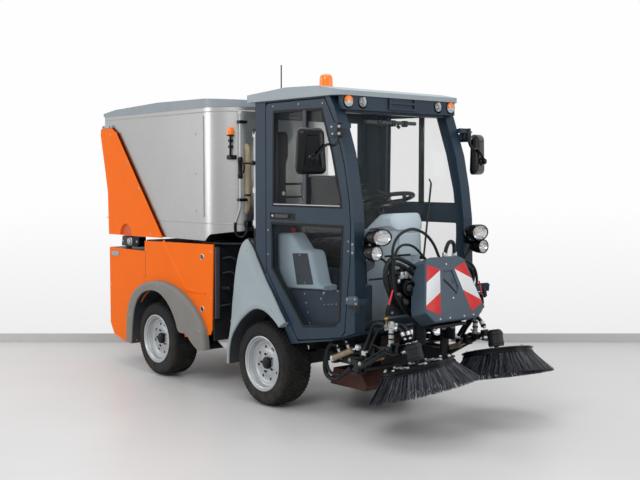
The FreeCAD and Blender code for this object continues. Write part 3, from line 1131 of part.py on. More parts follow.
def brush_arm():
    """The left arm: an eye on the swing pin, a beam and a motor over the brush."""
    x, y, z = swing_place()
    half_eye = S.swing_height / 2 - S.lift_arm_half - S.brush_clearance / 2
    eye = disc(S.swing_radius, half_eye * 2, x, y, z - half_eye)
    start = (x + S.swing_radius * 0.5, y, z)
    knee = (between(x, S.brush_x, 0.55), y, S.brush_z + S.brush_clearance * 8)
    head = (S.brush_x - S.brush_drop * 0.14, S.brush_side, S.brush_z + S.brush_clearance * 12)
    beam = bent_bar(S.arm_half_width, [start, knee, head])
    turn = brush_tilt()
    motor = moved(disc(S.brush_motor_radius, S.motor_height, z=S.brush_plate / 2 + S.brush_clearance),
                  S.brush_x, S.brush_side, S.brush_z, turn)
    shaft = moved(disc(S.shaft_radius, S.brush_plate + S.brush_clearance, z=-S.brush_plate / 2), S.brush_x,
                  S.brush_side, S.brush_z, turn)
    bore = disc(S.swing_pin_radius + S.seat_gap, S.swing_height * 2, x, y, z - S.swing_height)
    return cut(fuse(eye, beam, motor, shaft), bore)


def build():
    """Make every sub-part of the machine."""
    wheels()
    frames()
    node("front_axle", axle(ZERO))
    node("rear_axle", axle(-S.wheelbase))
    cab_shell()
    roof()
    doors()
    cab_inside()
    front_fenders()
    lamps_front()
    front_cover()
    behind_cab()
    rear_hood()
    hopper()
    sweeping_gear()


def write_parts():
    """Check every object and write each sub-part to its own file."""
    doc.recompute()
    failed = [item.Label for item in doc.Objects if "Invalid" in item.State or "Error" in item.State]
    if failed:
        raise RuntimeError(f"objects that failed: {failed}")
    os.makedirs("parts", exist_ok=True)
    for piece in NODES:
        if piece.Shape.isNull() or not piece.Shape.isValid() or not piece.Shape.Solids:
            raise RuntimeError(f"bad shape: {piece.Label}")
        piece.Shape.exportStep(f"parts/{piece.Label}.step")


build()
write_parts()
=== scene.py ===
import json
import math
import random

import bmesh
import bpy
from mathutils import Matrix, Vector
from mathutils.geometry import tessellate_polygon

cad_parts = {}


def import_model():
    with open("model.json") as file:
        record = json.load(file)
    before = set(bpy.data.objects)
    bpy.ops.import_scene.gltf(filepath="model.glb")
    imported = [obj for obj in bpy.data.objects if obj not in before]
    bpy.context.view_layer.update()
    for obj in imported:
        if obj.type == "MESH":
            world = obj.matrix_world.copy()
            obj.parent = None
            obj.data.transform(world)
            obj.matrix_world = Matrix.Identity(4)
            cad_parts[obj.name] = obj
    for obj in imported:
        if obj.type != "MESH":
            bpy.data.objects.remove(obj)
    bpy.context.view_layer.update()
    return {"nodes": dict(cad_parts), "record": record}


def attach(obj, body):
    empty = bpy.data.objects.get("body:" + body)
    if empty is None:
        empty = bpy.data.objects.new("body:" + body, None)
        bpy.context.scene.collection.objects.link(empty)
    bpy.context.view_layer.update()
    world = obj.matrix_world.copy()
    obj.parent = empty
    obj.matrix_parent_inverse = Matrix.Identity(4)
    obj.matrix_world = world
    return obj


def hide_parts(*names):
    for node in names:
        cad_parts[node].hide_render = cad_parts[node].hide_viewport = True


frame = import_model()
NODES = frame["nodes"]

# Every shape is written in metres from the front axle's middle on the ground, and moved here.
AXLE = 0.314
# Shapes drawn in X and Z on the right side: their local height is the distance out from the middle.
SIDE = Matrix(((1, 0, 0, 0), (0, 0, -1, 0), (0, 1, 0, 0), (0, 0, 0, 1)))
TURN = 2 * math.pi


# Materials
DUST = (150, 142, 130)
GRAIN_DEPTH, STREAK_DEPTH, COAT_ROUGHNESS = 0.0006, 0.0008, 0.08


def linear(rgb):
    """A colour from 0 to 255 as it looks, turned into the values that shaders take."""
    shares = [value / 255 for value in rgb]
    return (*(c / 12.92 if c <= 0.04045 else ((c + 0.055) / 1.055) ** 2.4 for c in shares), 1)


def feed(tree, node, inputs):
    """Set a node's inputs, each to a value or to another node's output."""
    for name, value in inputs.items():
        if isinstance(value, bpy.types.NodeSocket):
            tree.links.new(value, node.inputs[name])
        else:
            node.inputs[name].default_value = value


def adder(tree):
    """A short way to add nodes to a tree. It gives the new node's outputs."""
    def add(kind, inputs, **settings):
        node = tree.nodes.new("ShaderNode" + kind)
        for name, value in settings.items():
            setattr(node, name, value)
        feed(tree, node, inputs)
        return node.outputs
    return add


def surface(name, rgb, rough, metal=0.0, coat=0.0, vary=0.05, patch=7.0, grain=420.0, bump=0.12,
            rough_vary=0.08, dust=None, spec=0.3, alpha=1.0, transmit=0.0, glow=0.0, sheen=0.0, streak=0.0):
    """A material with slow colour changes, fine grain in its bump and its gloss, and dust low down."""
    mat = bpy.data.materials.new(name)
    mat.use_nodes = True
    add = adder(mat.node_tree)
    base = linear(rgb)
    place = add("TexCoord", {})["Object"]
    slow = add("TexNoise", {"Vector": place, "Scale": patch, "Detail": 6, "Roughness": 0.62})["Fac"]
    fine = add("TexNoise", {"Vector": place, "Scale": grain, "Detail": 3})["Fac"]
    spread = add("MapRange", {"Value": slow, "From Min": 0.3, "From Max": 0.7})["Result"]
    dark, light = ((*(min(1, c * share) for c in base[:3]), 1) for share in (1 - vary, 1 + vary))
    colour = add("Mix", {"Factor": spread, "A": dark, "B": light}, data_type="RGBA")["Result"]
    if dust:
        height = add("SeparateXYZ", {"Vector": place})["Z"]
        low = add("MapRange", {"Value": height, "From Min": dust[1], "From Max": 0, "To Max": dust[0]})
        speck = add("Math", {0: low["Result"], 1: spread}, operation="MULTIPLY")["Value"]
        colour = add("Mix", {"Factor": speck, "A": colour, "B": linear(DUST)}, data_type="RGBA")["Result"]
    gloss = add("MapRange", {"Value": fine, "From Min": 0.25, "From Max": 0.75,
                             "To Min": max(0.02, rough - rough_vary), "To Max": min(1, rough + rough_vary)})
    raised = add("Bump", {"Strength": bump, "Distance": GRAIN_DEPTH, "Height": fine})["Normal"]
    if streak:
        comb = add("Mapping", {"Scale": (streak, streak, 2), "Vector": place})["Vector"]
        lines = add("TexNoise", {"Vector": comb, "Scale": 1, "Detail": 8})["Fac"]
        raised = add("Bump", {"Strength": 0.25, "Distance": STREAK_DEPTH, "Height": lines,
                              "Normal": raised})["Normal"]
    feed(mat.node_tree, mat.node_tree.nodes["Principled BSDF"], {
        "Base Color": colour, "Roughness": gloss["Result"], "Normal": raised, "Metallic": metal,
        "Specular IOR Level": spec, "Coat Weight": coat, "Coat Roughness": COAT_ROUGHNESS,
        "Transmission Weight": transmit, "Alpha": alpha, "Sheen Weight": sheen,
        "Emission Color": base, "Emission Strength": glow})
    return mat


CLEAR = dict(vary=0.03, bump=0, rough_vary=0.01)
LENS = dict(vary=0.03, bump=0.02, rough_vary=0.03)
FILM = dict(patch=60, grain=1200)
# The colour as it looks, how rough the surface is, and what sets it apart.
LOOKS = {
    "cab_paint": ((38, 55, 70), 0.4, dict(vary=0.07, grain=300, bump=0.1, spec=0.22)),
    "frame_paint": ((27, 31, 36), 0.48, dict(vary=0.12, dust=(0.2, 0.5), bump=0.2)),
    "cover_paint": ((66, 82, 95), 0.42, dict(vary=0.06)),
    "orange": ((255, 112, 0), 0.42, dict(vary=0.04, patch=4, grain=260, bump=0.08, spec=0.14)),
    # A darker copy of the orange as painted shade: it darkens the hatch pocket's recess and the slats on the
    # hatch's rear.
    "orange_shaded": ((214, 82, 4), 0.42, dict(coat=0.2, grain=260, bump=0.08)),
    "pale_plastic": ((158, 169, 174), 0.46, dict(vary=0.04, grain=700, bump=0.22)),
    "fender_plastic": ((153, 165, 171), 0.5, dict(grain=650, bump=0.3, dust=(0.25, 0.5))),
    # The rear fenders are the same grey plastic as the front ones, made darker and warmer: painted shade and
    # a painted warm reflection of the orange hood.
    "rear_fender": ((128, 126, 122), 0.5, dict(grain=650, bump=0.3, dust=(0.25, 0.5))),
    "liner": ((41, 47, 54), 0.62, dict(vary=0.15, grain=500, bump=0.35, dust=(0.35, 0.5))),
    "console_plastic": ((172, 192, 204), 0.52, dict(grain=700, bump=0.3)),
    # The dash hood is a lighter copy of the dash leg's plastic: painted light from the front on its top.
    "dash_top_lit": ((206, 222, 232), 0.48, dict(vary=0.04, grain=700, bump=0.25)),
    "dash_leg": ((182, 200, 210), 0.52, dict(grain=700, bump=0.3)),
    "panel_grey": ((64, 72, 79), 0.5, dict(vary=0.06, grain=600, bump=0.2)),
    "black_plastic": ((20, 23, 27), 0.5, dict(vary=0.15, grain=700, bump=0.35)),
    "gloss_black": ((13, 15, 18), 0.24, dict(vary=0.12, grain=300, bump=0.06, spec=0.2)),
    "handle_grip": ((58, 62, 67), 0.4, dict(vary=0.08, grain=500, bump=0.15)),
    "navy": ((38, 54, 72), 0.5, dict(vary=0.06, grain=500, bump=0.05)),
    "plum": ((77, 72, 82), 0.5, dict(vary=0.08, grain=500, bump=0.15)),
    "seat_cloth": ((27, 31, 37), 0.78, dict(vary=0.14, patch=26, grain=1100, bump=0.5, sheen=0.25)),
    "rubber": ((21, 22, 24), 0.72, dict(vary=0.18, grain=900, bump=0.4, patch=14, dust=(0.16, 0.5),
                                        spec=0.25)),
    "hose": ((20, 22, 25), 0.42, dict(vary=0.2, grain=900, bump=0.35)),
    "beige": ((176, 160, 132), 0.5, dict(vary=0.08, bump=0.2)),
    # The seal colour also paints the shade seen through the rim's holes.
    "seal": ((14, 16, 18), 0.62, dict(vary=0.15, grain=900, bump=0.2)),
    "bristle": ((25, 27, 32), 0.44, dict(vary=0.25, patch=40, grain=900, bump=0.1)),
    # Pale strands stand in for light glancing off the black bristles: painted highlights.
    "bristle_highlight": ((84, 90, 98), 0.4, dict(vary=0.2, patch=40, grain=900, bump=0.1)),
    "steel": ((172, 173, 172), 0.3, dict(metal=1, vary=0.03, patch=2.2, grain=260, bump=0.05,
                                         rough_vary=0.05, streak=170)),
    "rim": ((178, 182, 185), 0.36, dict(metal=0.55, grain=500, dust=(0.2, 0.35))),
    "silver": ((188, 191, 193), 0.36, dict(metal=0.5, vary=0.06, grain=500)),
    "zinc": ((168, 170, 172), 0.34, dict(metal=0.95, vary=0.12, patch=30, grain=600, bump=0.15)),
    "chrome": ((214, 216, 218), 0.12, dict(LENS, metal=1)),
    "gold": ((176, 140, 74), 0.32, dict(metal=0.9, vary=0.1, grain=500)),
    "tan": ((158, 140, 118), 0.46, dict(metal=0.25, vary=0.12, patch=24, bump=0.2)),
    "engine_iron": ((52, 54, 57), 0.55, dict(metal=0.4, vary=0.2, patch=16, bump=0.4)),
    "rust": ((74, 45, 38), 0.62, dict(vary=0.2, patch=18, bump=0.3)),
    "lid": ((146, 156, 163), 0.4, dict(coat=0.15)),
    "glass": ((30, 33, 35), 0.03, dict(CLEAR, alpha=0.11, spec=0.5)),
    "screen": ((150, 162, 166), 0.03, dict(CLEAR, alpha=0.035, spec=0.5)),
    "lens_cover": ((236, 240, 242), 0.04, dict(CLEAR, vary=0.02, alpha=0.22, spec=0.9, coat=0.4)),
    "mirror": ((205, 210, 214), 0.03, dict(CLEAR, vary=0.01, metal=1)),
    "amber": ((255, 128, 8), 0.12, dict(LENS, coat=0.6, vary=0.05, transmit=0.25, glow=0.22)),
    "clear_lens": ((225, 230, 232), 0.08, dict(LENS, coat=0.6, transmit=0.3)),
    "red_lens": ((176, 18, 14), 0.14, dict(LENS, coat=0.6, vary=0.05)),
    "bulb": ((226, 196, 188), 0.15, dict(LENS, vary=0.05, glow=0.1)),
    "red_film": ((206, 26, 30), 0.32, FILM),
    "white_film": ((226, 229, 232), 0.32, dict(FILM, vary=0.03)),
    "label": ((215, 217, 216), 0.5, dict(grain=500, bump=0.08)),
    "pink": ((226, 66, 78), 0.42, dict(vary=0.08, grain=500)),
    "cap_white": ((206, 208, 206), 0.45, dict(vary=0.06, grain=500, bump=0.1)),
}
M = {name: surface(name, rgb, rough, **rest) for name, (rgb, rough, rest) in LOOKS.items()}

SLOT_MATERIALS = {
    "frame_paint": "frame_paint", "cab_paint": "cab_paint", "glass": "glass", "grey_plastic": "pale_plastic",
    "fender_plastic": "fender_plastic", "orange_plastic": "orange", "black_plastic": "black_plastic",
    "amber_lens": "amber", "lamp_lens": "clear_lens", "red_lens": "red_lens", "hopper_steel": "steel",
    "lid_grey": "lid", "engine_iron": "engine_iron", "tyre_rubber": "rubber", "rim_silver": "rim",
}
NODE_MATERIALS = {
    "cab_glass": "screen", "front_cover": "cover_paint", "dash_column": "console_plastic",
    "side_consoles": "console_plastic", "suction_mouth": "rust", "front_fenders": "fender_plastic",
    "water_lance": "gloss_black", "washer_tube": "gloss_black", "hose_reel": "pale_plastic",
    "steering_wheel": "gloss_black",
}
EDGE_WIDTHS = {
    "hood_sides": 0.004, "hopper_hatch": 0.0028, "cab_roof": 0.012, "front_fenders": 0.0028,
    "rear_fenders": 0.0028, "door_left": 0.003, "door_right": 0.003, "cab_frame": 0.003, "hopper_lid": 0.008,
    "front_cover": 0.0022, "roof_visor": 0.003, "side_consoles": 0.012, "dash_column": 0.012,
    "hopper": 0.0012, "rear_bumper": 0.006, "hood_deck": 0.003, "hood_rear": 0.003, "lift_frame": 0.002,
}


def dress_nodes():
    """Give every CAD node its material, and a small rounding on its edges where it catches light."""
    for entry in frame["record"]["subparts"]:
        name = entry["node"]
        material = M[NODE_MATERIALS.get(name, SLOT_MATERIALS[entry["material_slot"]])]
        NODES[name].data.materials.clear()
        NODES[name].data.materials.append(material)
    for name, width in EDGE_WIDTHS.items():
        rounding = NODES[name].modifiers.new("edge", "BEVEL")
        rounding.width = width
        rounding.segments = 3
        rounding.limit_method = "ANGLE"
        rounding.angle_limit = math.radians(40)
        rounding.harden_normals = True


dress_nodes()


# Places and lines
def axes(z, x=None):
    """A turn whose third axis is z, with its first axis as near to x as it can be."""
    z = Vector(z).normalized()
    x = Vector(x) if x is not None else (Vector((1, 0, 0)) if abs(z.x) < 0.9 else Vector((0, 1, 0)))
    y = z.cross(x).normalized()
    x = y.cross(z).normalized()
    return Matrix((x, y, z)).transposed().to_4x4()


def move(x, y, z):
    return Matrix.Translation((x, y, z))


def spin(angle, axis="Z"):
    return Matrix.Rotation(angle, 4, axis)


def at(place, z=(0, 0, 1), x=None):
    return Matrix.Translation(Vector(place)) @ axes(z, x)


def outward(x, y, z):
    """A place on the right side whose height points away from the machine."""
    return at((x, y, z), (0, -1, 0))


def around(count, radius, height=0, shift=0):
    """Places in a ring, each turned with its angle."""
    return [spin(TURN * (k + shift) / count) @ move(radius, 0, height) for k in range(count)]


def polar(radius, angle, height=0):
    return radius * math.cos(angle), radius * math.sin(angle), height


def curve_through(points, steps=8):
    """Points on a smooth line through the given ones."""
    pts = [Vector(p) for p in points]
    pts = [pts[0] * 2 - pts[1], *pts, pts[-1] * 2 - pts[-2]]
    out = []
    for p0, p1, p2, p3 in zip(pts, pts[1:], pts[2:], pts[3:]):
        for k in range(steps):
            t = k / steps
            out.append(0.5 * ((2 * p1) + (p2 - p0) * t + (2 * p0 - 5 * p1 + 4 * p2 - p3) * t * t
                              + (3 * p1 - p0 - 3 * p2 + p3) * t ** 3))
    return [*out, pts[-2]]


def inwards(outline, distance):
    """A closed outline, drawn anticlockwise, moved inwards."""
    out = []
    pts = [Vector(q) for q in outline]
    for before, here, after in zip(pts[-1:] + pts, pts, pts[1:] + pts[:1]):
        first, second = (here - before).normalized(), (after - here).normalized()
        left, right = Vector((-first.y, first.x)), Vector((-second.y, second.x))
        middle = left + right
        middle = middle.normalized() if middle.length > 1e-6 else left
        out.append(tuple(here + middle * distance / max(0.5, middle.dot(left))))
    return out


def anticlockwise(outline):
    area = sum(a[0] * b[1] - b[0] * a[1] for a, b in zip(outline, outline[1:] + outline[:1]))
    return list(outline) if area > 0 else list(outline)[::-1]


def strip_outline(path, half):
    """The outline of a flat strip along a path in two dimensions, with mitred corners."""
    pts = [Vector(q) for q in path]
    left, right = [], []
    for i, p in enumerate(pts):
        ahead, behind = pts[min(i + 1, len(pts) - 1)] - p, p - pts[max(i - 1, 0)]
        first = (behind if behind.length else ahead).normalized()
        second = (ahead if ahead.length else behind).normalized()
        normal = Vector((-(first + second).y, (first + second).x)).normalized()
        reach = half / max(0.4, normal.dot(Vector((-first.y, first.x))))
        left.append(tuple(p + normal * reach))
        right.append(tuple(p - normal * reach))
    return left + right[::-1]


def rounded(low, high, radius, steps=4):
    """The outline of a rectangle with round corners."""
    (x0, y0), (x1, y1) = low, high
    out = []
    for quarter, (cx, cy) in enumerate(((x1 - radius, y1 - radius), (x0 + radius, y1 - radius),
                                        (x0 + radius, y0 + radius), (x1 - radius, y0 + radius))):
        for k in range(steps + 1):
            x, y, _ = polar(radius, TURN / 4 * (quarter + k / steps))
            out.append((cx + x, cy + y))
    return out


def wrapped(rings, count, closed=False):
    """The faces between rings that have as many corners each."""
    faces = []
    for k in range(rings if closed else rings - 1):
        here, there = k * count, (k + 1) % rings * count
        for i in range(count):
            j = (i + 1) % count
            faces.append((here + i, here + j, there + j, there + i))
    return faces


# Building shapes
class Form:
    """Corners and faces of one piece, each face with the number of its material."""

    def __init__(self):
        self.v, self.f, self.m = [], [], []

    def add(self, verts, faces, mat=0, place=None):
        base = len(self.v)
        self.v += [(place @ Vector(p)) if place is not None else Vector(p) for p in verts]
        self.f += [tuple(base + i for i in face) for face in faces]
        self.m += list(mat) if isinstance(mat, list) else [mat] * len(faces)

    def take(self, work, mat=0, place=None):
        """Add what a bmesh holds, and free it."""
        work.verts.index_update()
        faces = [[v.index for v in f.verts] for f in work.faces]
        self.add([v.co.copy() for v in work.verts], faces, mat, place)
        work.free()

    def block(self, low, high, edge=0, mat=0, place=None, steps=2):
        """A block with rounded edges."""
        low, high = Vector(low), Vector(high)
        work = bmesh.new()
        bmesh.ops.create_cube(work, size=1)
        for v in work.verts:
            v.co = Vector(((low[i] + high[i]) / 2 + v.co[i] * (high[i] - low[i]) for i in range(3)))
        if edge:
            bmesh.ops.bevel(work, geom=list(work.edges), offset=edge, segments=steps, profile=0.5,
                            affect="EDGES", clamp_overlap=True)
        self.take(work, mat, place)

    def pan(self, outline, rings, mat=0, place=SIDE, hole=None, depth=0.01, floor_mat=None, mats=None):
        """An outline carried through rings of inset and height, closed at both ends.

        The last end may have a recess with its own outline, depth and material."""
        outline = anticlockwise(outline)
        n = len(outline)
        mats = mats or [mat] * len(rings)
        verts = [(x, y, h) for inset, h in rings for x, y in inwards(outline, inset)]
        faces = wrapped(len(rings), n)
        kinds = [mats[k] for k in range(len(rings) - 1) for _ in range(n)]

        def close(loops, up, kind):
            index = [i for loop in loops for i in loop]
            for tri in tessellate_polygon([[Vector(verts[i]) for i in loop] for loop in loops]):
                a, b, c = (Vector(verts[index[i]]) for i in tri)
                tri = [index[i] for i in tri]
                faces.append(tuple(tri if ((b - a).cross(c - a).z > 0) == up else tri[::-1]))
                kinds.append(kind)

        close([list(range(n))], rings[0][1] > rings[1][1] and rings[0][0] < rings[1][0], mats[0])
        top = list(range((len(rings) - 1) * n, len(rings) * n))
        if hole:
            hole = anticlockwise(hole)
            m, base, height = len(hole), len(verts), rings[-1][1]
            verts += [(x, y, h) for h in (height, height - depth) for x, y in hole]
            close([top, list(range(base, base + m))], True, mats[-1])
            for i in range(m):
                j = (i + 1) % m
                faces.append((base + j, base + i, base + m + i, base + m + j))
                kinds.append(mats[-1])
            close([list(range(base + m, base + 2 * m))], True, mat if floor_mat is None else floor_mat)
        else:
            close([top], True, mats[-1])
        self.add(verts, faces, kinds, place)

    def screws(self, spots, out, radius=0.006, mat=0, proud=0.0025):
        """Round screw heads on the right side."""
        for x, z in spots:
            self.lathe([(0, 0), (radius, 0), (radius * 0.95, proud * 0.6), (radius * 0.7, proud),
                        (radius * 0.3, proud), (radius * 0.22, proud * 0.5), (0, proud * 0.5)], 14, mat,
                       outward(x, -out, z))

    def band(self, pairs, section, steps=3):
        """A band between two lines, its section a closed loop of place, height and material."""
        first = curve_through([(*a, 0) for a, b in pairs], steps)
        second = curve_through([(*b, 0) for a, b in pairs], steps)
        loops = [section(i / (len(first) - 1), a, b) for i, (a, b) in enumerate(zip(first, second))]
        verts = []
        for a, b, loop in zip(first, second, loops):
            for distance, height, kind in loop:
                q = a + (b - a) * (distance / (b - a).length)
                verts.append((q.x, q.y, height(q) if callable(height) else height))
        count = len(loops[0])
        ends = [tuple(range(count))[::-1], tuple(len(verts) - count + k for k in range(count))]
        kinds = [kind for loop in loops[1:] for _, _, kind in loop]
        self.add(verts, wrapped(len(loops), count) + ends, kinds + [0, 0], SIDE)

    def lathe(self, profile, sides=32, mat=0, place=None, closed=False, turn=1.0, squash=1.0):
        """A profile of radius and height turned about local Z."""
        verts, faces, rings = [], [], []
        count = sides if turn >= 1 else sides + 1
        for r, h in profile:
            if r <= 1e-9:
                rings.append([len(verts)])
                verts.append((0, 0, h))
            else:
                rings.append(list(range(len(verts), len(verts) + count)))
                for k in range(count):
                    x, y, _ = polar(r, TURN * turn * k / sides)
                    verts.append((x, y * squash, h))
        for a, b in list(zip(rings, rings[1:])) + ([(rings[-1], rings[0])] if closed else []):
            for k in range(sides):
                j = (k + 1) % count
                if len(a) > 1 and len(b) > 1:
                    faces.append((a[j], b[j], b[k], a[k]))
                elif len(b) > 1:
                    faces.append((b[j], b[k], a[0]))
                elif len(a) > 1:
                    faces.append((a[j], b[0], a[k]))
        self.add(verts, faces, mat, place)

    def plug(self, profile, sides=20, mat=0, place=None, squash=1.0):
        """A profile turned about local Z with flat ends."""
        self.lathe([(0, profile[0][1]), *profile, (0, profile[-1][1])], sides, mat, place, squash=squash)

    def tube(self, points, radius, sides=10, mat=0, closed=False):
        """A round bar or hose along points, with one radius or a list of radii."""
        pts = [Vector(p) for p in points]
        n = len(pts)
        radii = radius if isinstance(radius, list) else [radius] * n
        verts, side = [], None
        for i, p in enumerate(pts):
            ahead = pts[(i + 1) % n] if closed or i < n - 1 else p
            behind = pts[(i - 1) % n] if closed or i else p
            way = (ahead - behind).normalized()
            if side is None:
                side = way.cross(Vector((0, 0, 1)) if abs(way.z) < 0.9 else Vector((1, 0, 0))).normalized()
            else:
                side = (side - way * side.dot(way)).normalized()
            other = way.cross(side)
            for k in range(sides):
                x, y, _ = polar(radii[i], TURN * k / sides)
                verts.append(p + side * x + other * y)
        faces = wrapped(n, sides, closed)
        if not closed:
            faces += [tuple(range(sides))[::-1], tuple(range((n - 1) * sides, n * sides))]
        self.add(verts, faces, mat)

    def hose(self, points, steps, radius, sides=12, mat=0):
        """A tube on a smooth line through the points."""
        self.tube(curve_through(points, steps), radius, sides, mat)

    def hex_bolt(self, place, size=0.009, mat=0, washer=True):
        """A bolt head on its washer, standing along local Z."""
        if washer:
            self.plug([(size * 1.35, 0), (size * 1.35, size * 0.22)], 16, mat, place)
        self.lathe([(0, 0), (size, size * 0.2), (size, size * 0.75), (size * 0.82, size * 0.95),
                    (0, size * 0.95)], 6, mat, place)

    def seal(self, outline, half, low, high, mat=0):
        """A closed strip along a window's outline."""
        outline = anticlockwise(outline)
        ease = min(0.0015, half * 0.4)
        rings = [(-half, low), (-half, high - ease), (-half + ease, high), (half - ease, high),
                 (half, high - ease), (half, low)]
        verts = [(x, y, h) for inset, h in rings for x, y in inwards(outline, inset)]
        self.add(verts, wrapped(len(rings), len(outline), True), mat, SIDE)

    def flipped(self):
        """The same shape on the left side instead of the right one."""
        self.v = [Vector((p.x, -p.y, p.z)) for p in self.v]
        self.f = [tuple(reversed(face)) for face in self.f]
        return self

    def mirrored(self):
        """Add the same shape on the other side of the machine."""
        count = len(self.v)
        self.v += [Vector((p.x, -p.y, p.z)) for p in self.v[:count]]
        self.f += [tuple(i + count for i in reversed(face)) for face in self.f]
        self.m += self.m
        return self


def piece(name, form, body, slot, *materials, stands_for=(), sharp=38):
    """Make the piece in the scene, let it ride on its body and take its materials."""
    mesh = bpy.data.meshes.new(name)
    mesh.from_pydata([(p.x + AXLE, p.y, p.z) for p in form.v], [], form.f)
    for key in materials:
        mesh.materials.append(M[key])
    for polygon, mat in zip(mesh.polygons, form.m):
        polygon.material_index = mat
        polygon.use_smooth = True
    mesh.validate()
    mesh.set_sharp_from_angle(angle=math.radians(sharp))
    obj = bpy.data.objects.new(name, mesh)
    bpy.context.scene.collection.objects.link(obj)
    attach(obj, body)
    if stands_for:
        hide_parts(*stands_for)
    return obj


def drawn(body, slot, *materials, both=False, stands_for=(), sharp=38):
    """Make the piece that the function below draws and names, on one side or on both."""
    def make(draw):
        form = Form()
        draw(form)
        if both:
            form.mirrored()
        piece(draw.__name__, form, body, slot, *materials, stands_for=stands_for, sharp=sharp)
        return draw
    return make


def drawn_twice(body, slot, *materials):
    """Make a piece on the right and one on the left side, each on its own body."""
    def make(draw):
        for side in ("right", "left"):
            form = Form()
            draw(form)
            if side == "left":
                form.flipped()
            piece(f"{draw.__name__}_{side}", form, f"{body}_{side}", slot, *materials)
        return draw
    return make


# Wheels
TYRE_R, WHEEL_Y, WHEELBASE = 0.267, 0.455, 1.26
TREAD_DEPTH, TREAD_COUNT, TREAD_HALF = 0.007, 58, 0.0085
TREAD_ROWS = (-0.07, -0.047, -0.0235, 0, 0.0235, 0.047, 0.07)
SHOULDER_LINE = [(0.2575, 0.0835), (0.251, 0.093), (0.24, 0.0995), (0.229, 0.101)]
SHOULDER_UNDER = [(0.25, 0.083), (0.245, 0.09), (0.235, 0.0965), (0.2285, 0.0985)]


def crown(y):
    """The radius of the tread at a place across the tyre."""
    t = min(1, abs(y) / 0.098)
    return TYRE_R - 0.003 - 0.004 * t * t - 0.016 * max(0, t - 0.72) ** 1.6 * 3.2


def tread_block(form, y, angle):
    """One slanted block of the tread, wider at its foot."""
    arc = 0.37 * TURN / TREAD_COUNT
    corners = []
    for lift, grow in ((-TREAD_DEPTH, 1.12), (0, 0.88)):
        for da, dy in ((-1, -1), (1, -1), (1, 1), (-1, 1)):
            across = y + dy * TREAD_HALF * grow
            turned_by = da * arc * 0.5 * grow + 0.1 * dy * arc
            corners.append(polar(crown(across) + lift, angle + turned_by, across))
    form.add(corners, [(4, 5, 6, 7), (0, 1, 5, 4), (1, 2, 6, 5), (2, 3, 7, 6), (3, 0, 4, 7)])


def shoulder_block(form, sign, angle, short):
    """One block on the tyre's shoulder, every second one shorter."""
    arc = 0.3 * TURN / TREAD_COUNT
    line, under = SHOULDER_LINE, SHOULDER_UNDER
    if short:
        line, under = line[:3] + [(0.235, 0.1)], under[:3] + [(0.2345, 0.0975)]
    corners = [polar(r, angle + da * arc * 0.5, y * sign) for r, y in line + under[::-1] for da in (-1, 1)]
    faces = [(2 * i, 2 * i + 1, 2 * i + 3, 2 * i + 2) for i in range(3)]
    faces += [(0, 2, 12, 14), (2, 4, 10, 12), (4, 6, 8, 10)]
    faces += [(1, 15, 13, 3), (3, 13, 11, 5), (5, 11, 9, 7), (6, 7, 9, 8), (0, 14, 15, 1)]
    if sign < 0:
        faces = [f[::-1] for f in faces]
    form.add(corners, faces)


def tyre_form():
    """A road tyre: the turned carcass, raised lines on its sides, blocks of tread and shoulder blocks."""
    form = Form()
    profile = [(0.158, -0.088), (0.17, -0.095), (0.182, -0.099), (0.2, -0.1025), (0.218, -0.102),
               (0.236, -0.0985), (0.2475, -0.0925)]
    profile += [(crown(y) - TREAD_DEPTH, y) for y in (-0.084, -0.06, -0.03, 0, 0.03, 0.06, 0.084)]
    profile += [(r, -y) for r, y in profile[6::-1]]
    form.lathe(profile, 72)
    for r, y in ((0.188, 0.1005), (0.226, 0.1012)):
        for sign in (1, -1):
            form.lathe([(r - 0.003, sign * (y - 0.0012)), (r, sign * (y + 0.0016)),
                        (r + 0.003, sign * (y - 0.0014))], 72)
    for index, y in enumerate(TREAD_ROWS):
        for k in range(TREAD_COUNT):
            tread_block(form, y, TURN * (k + 0.5 * (index % 2)) / TREAD_COUNT)
    for sign in (1, -1):
        for k in range(TREAD_COUNT):
            shoulder_block(form, sign, TURN * (k + 0.5) / TREAD_COUNT, k % 2)
    return form


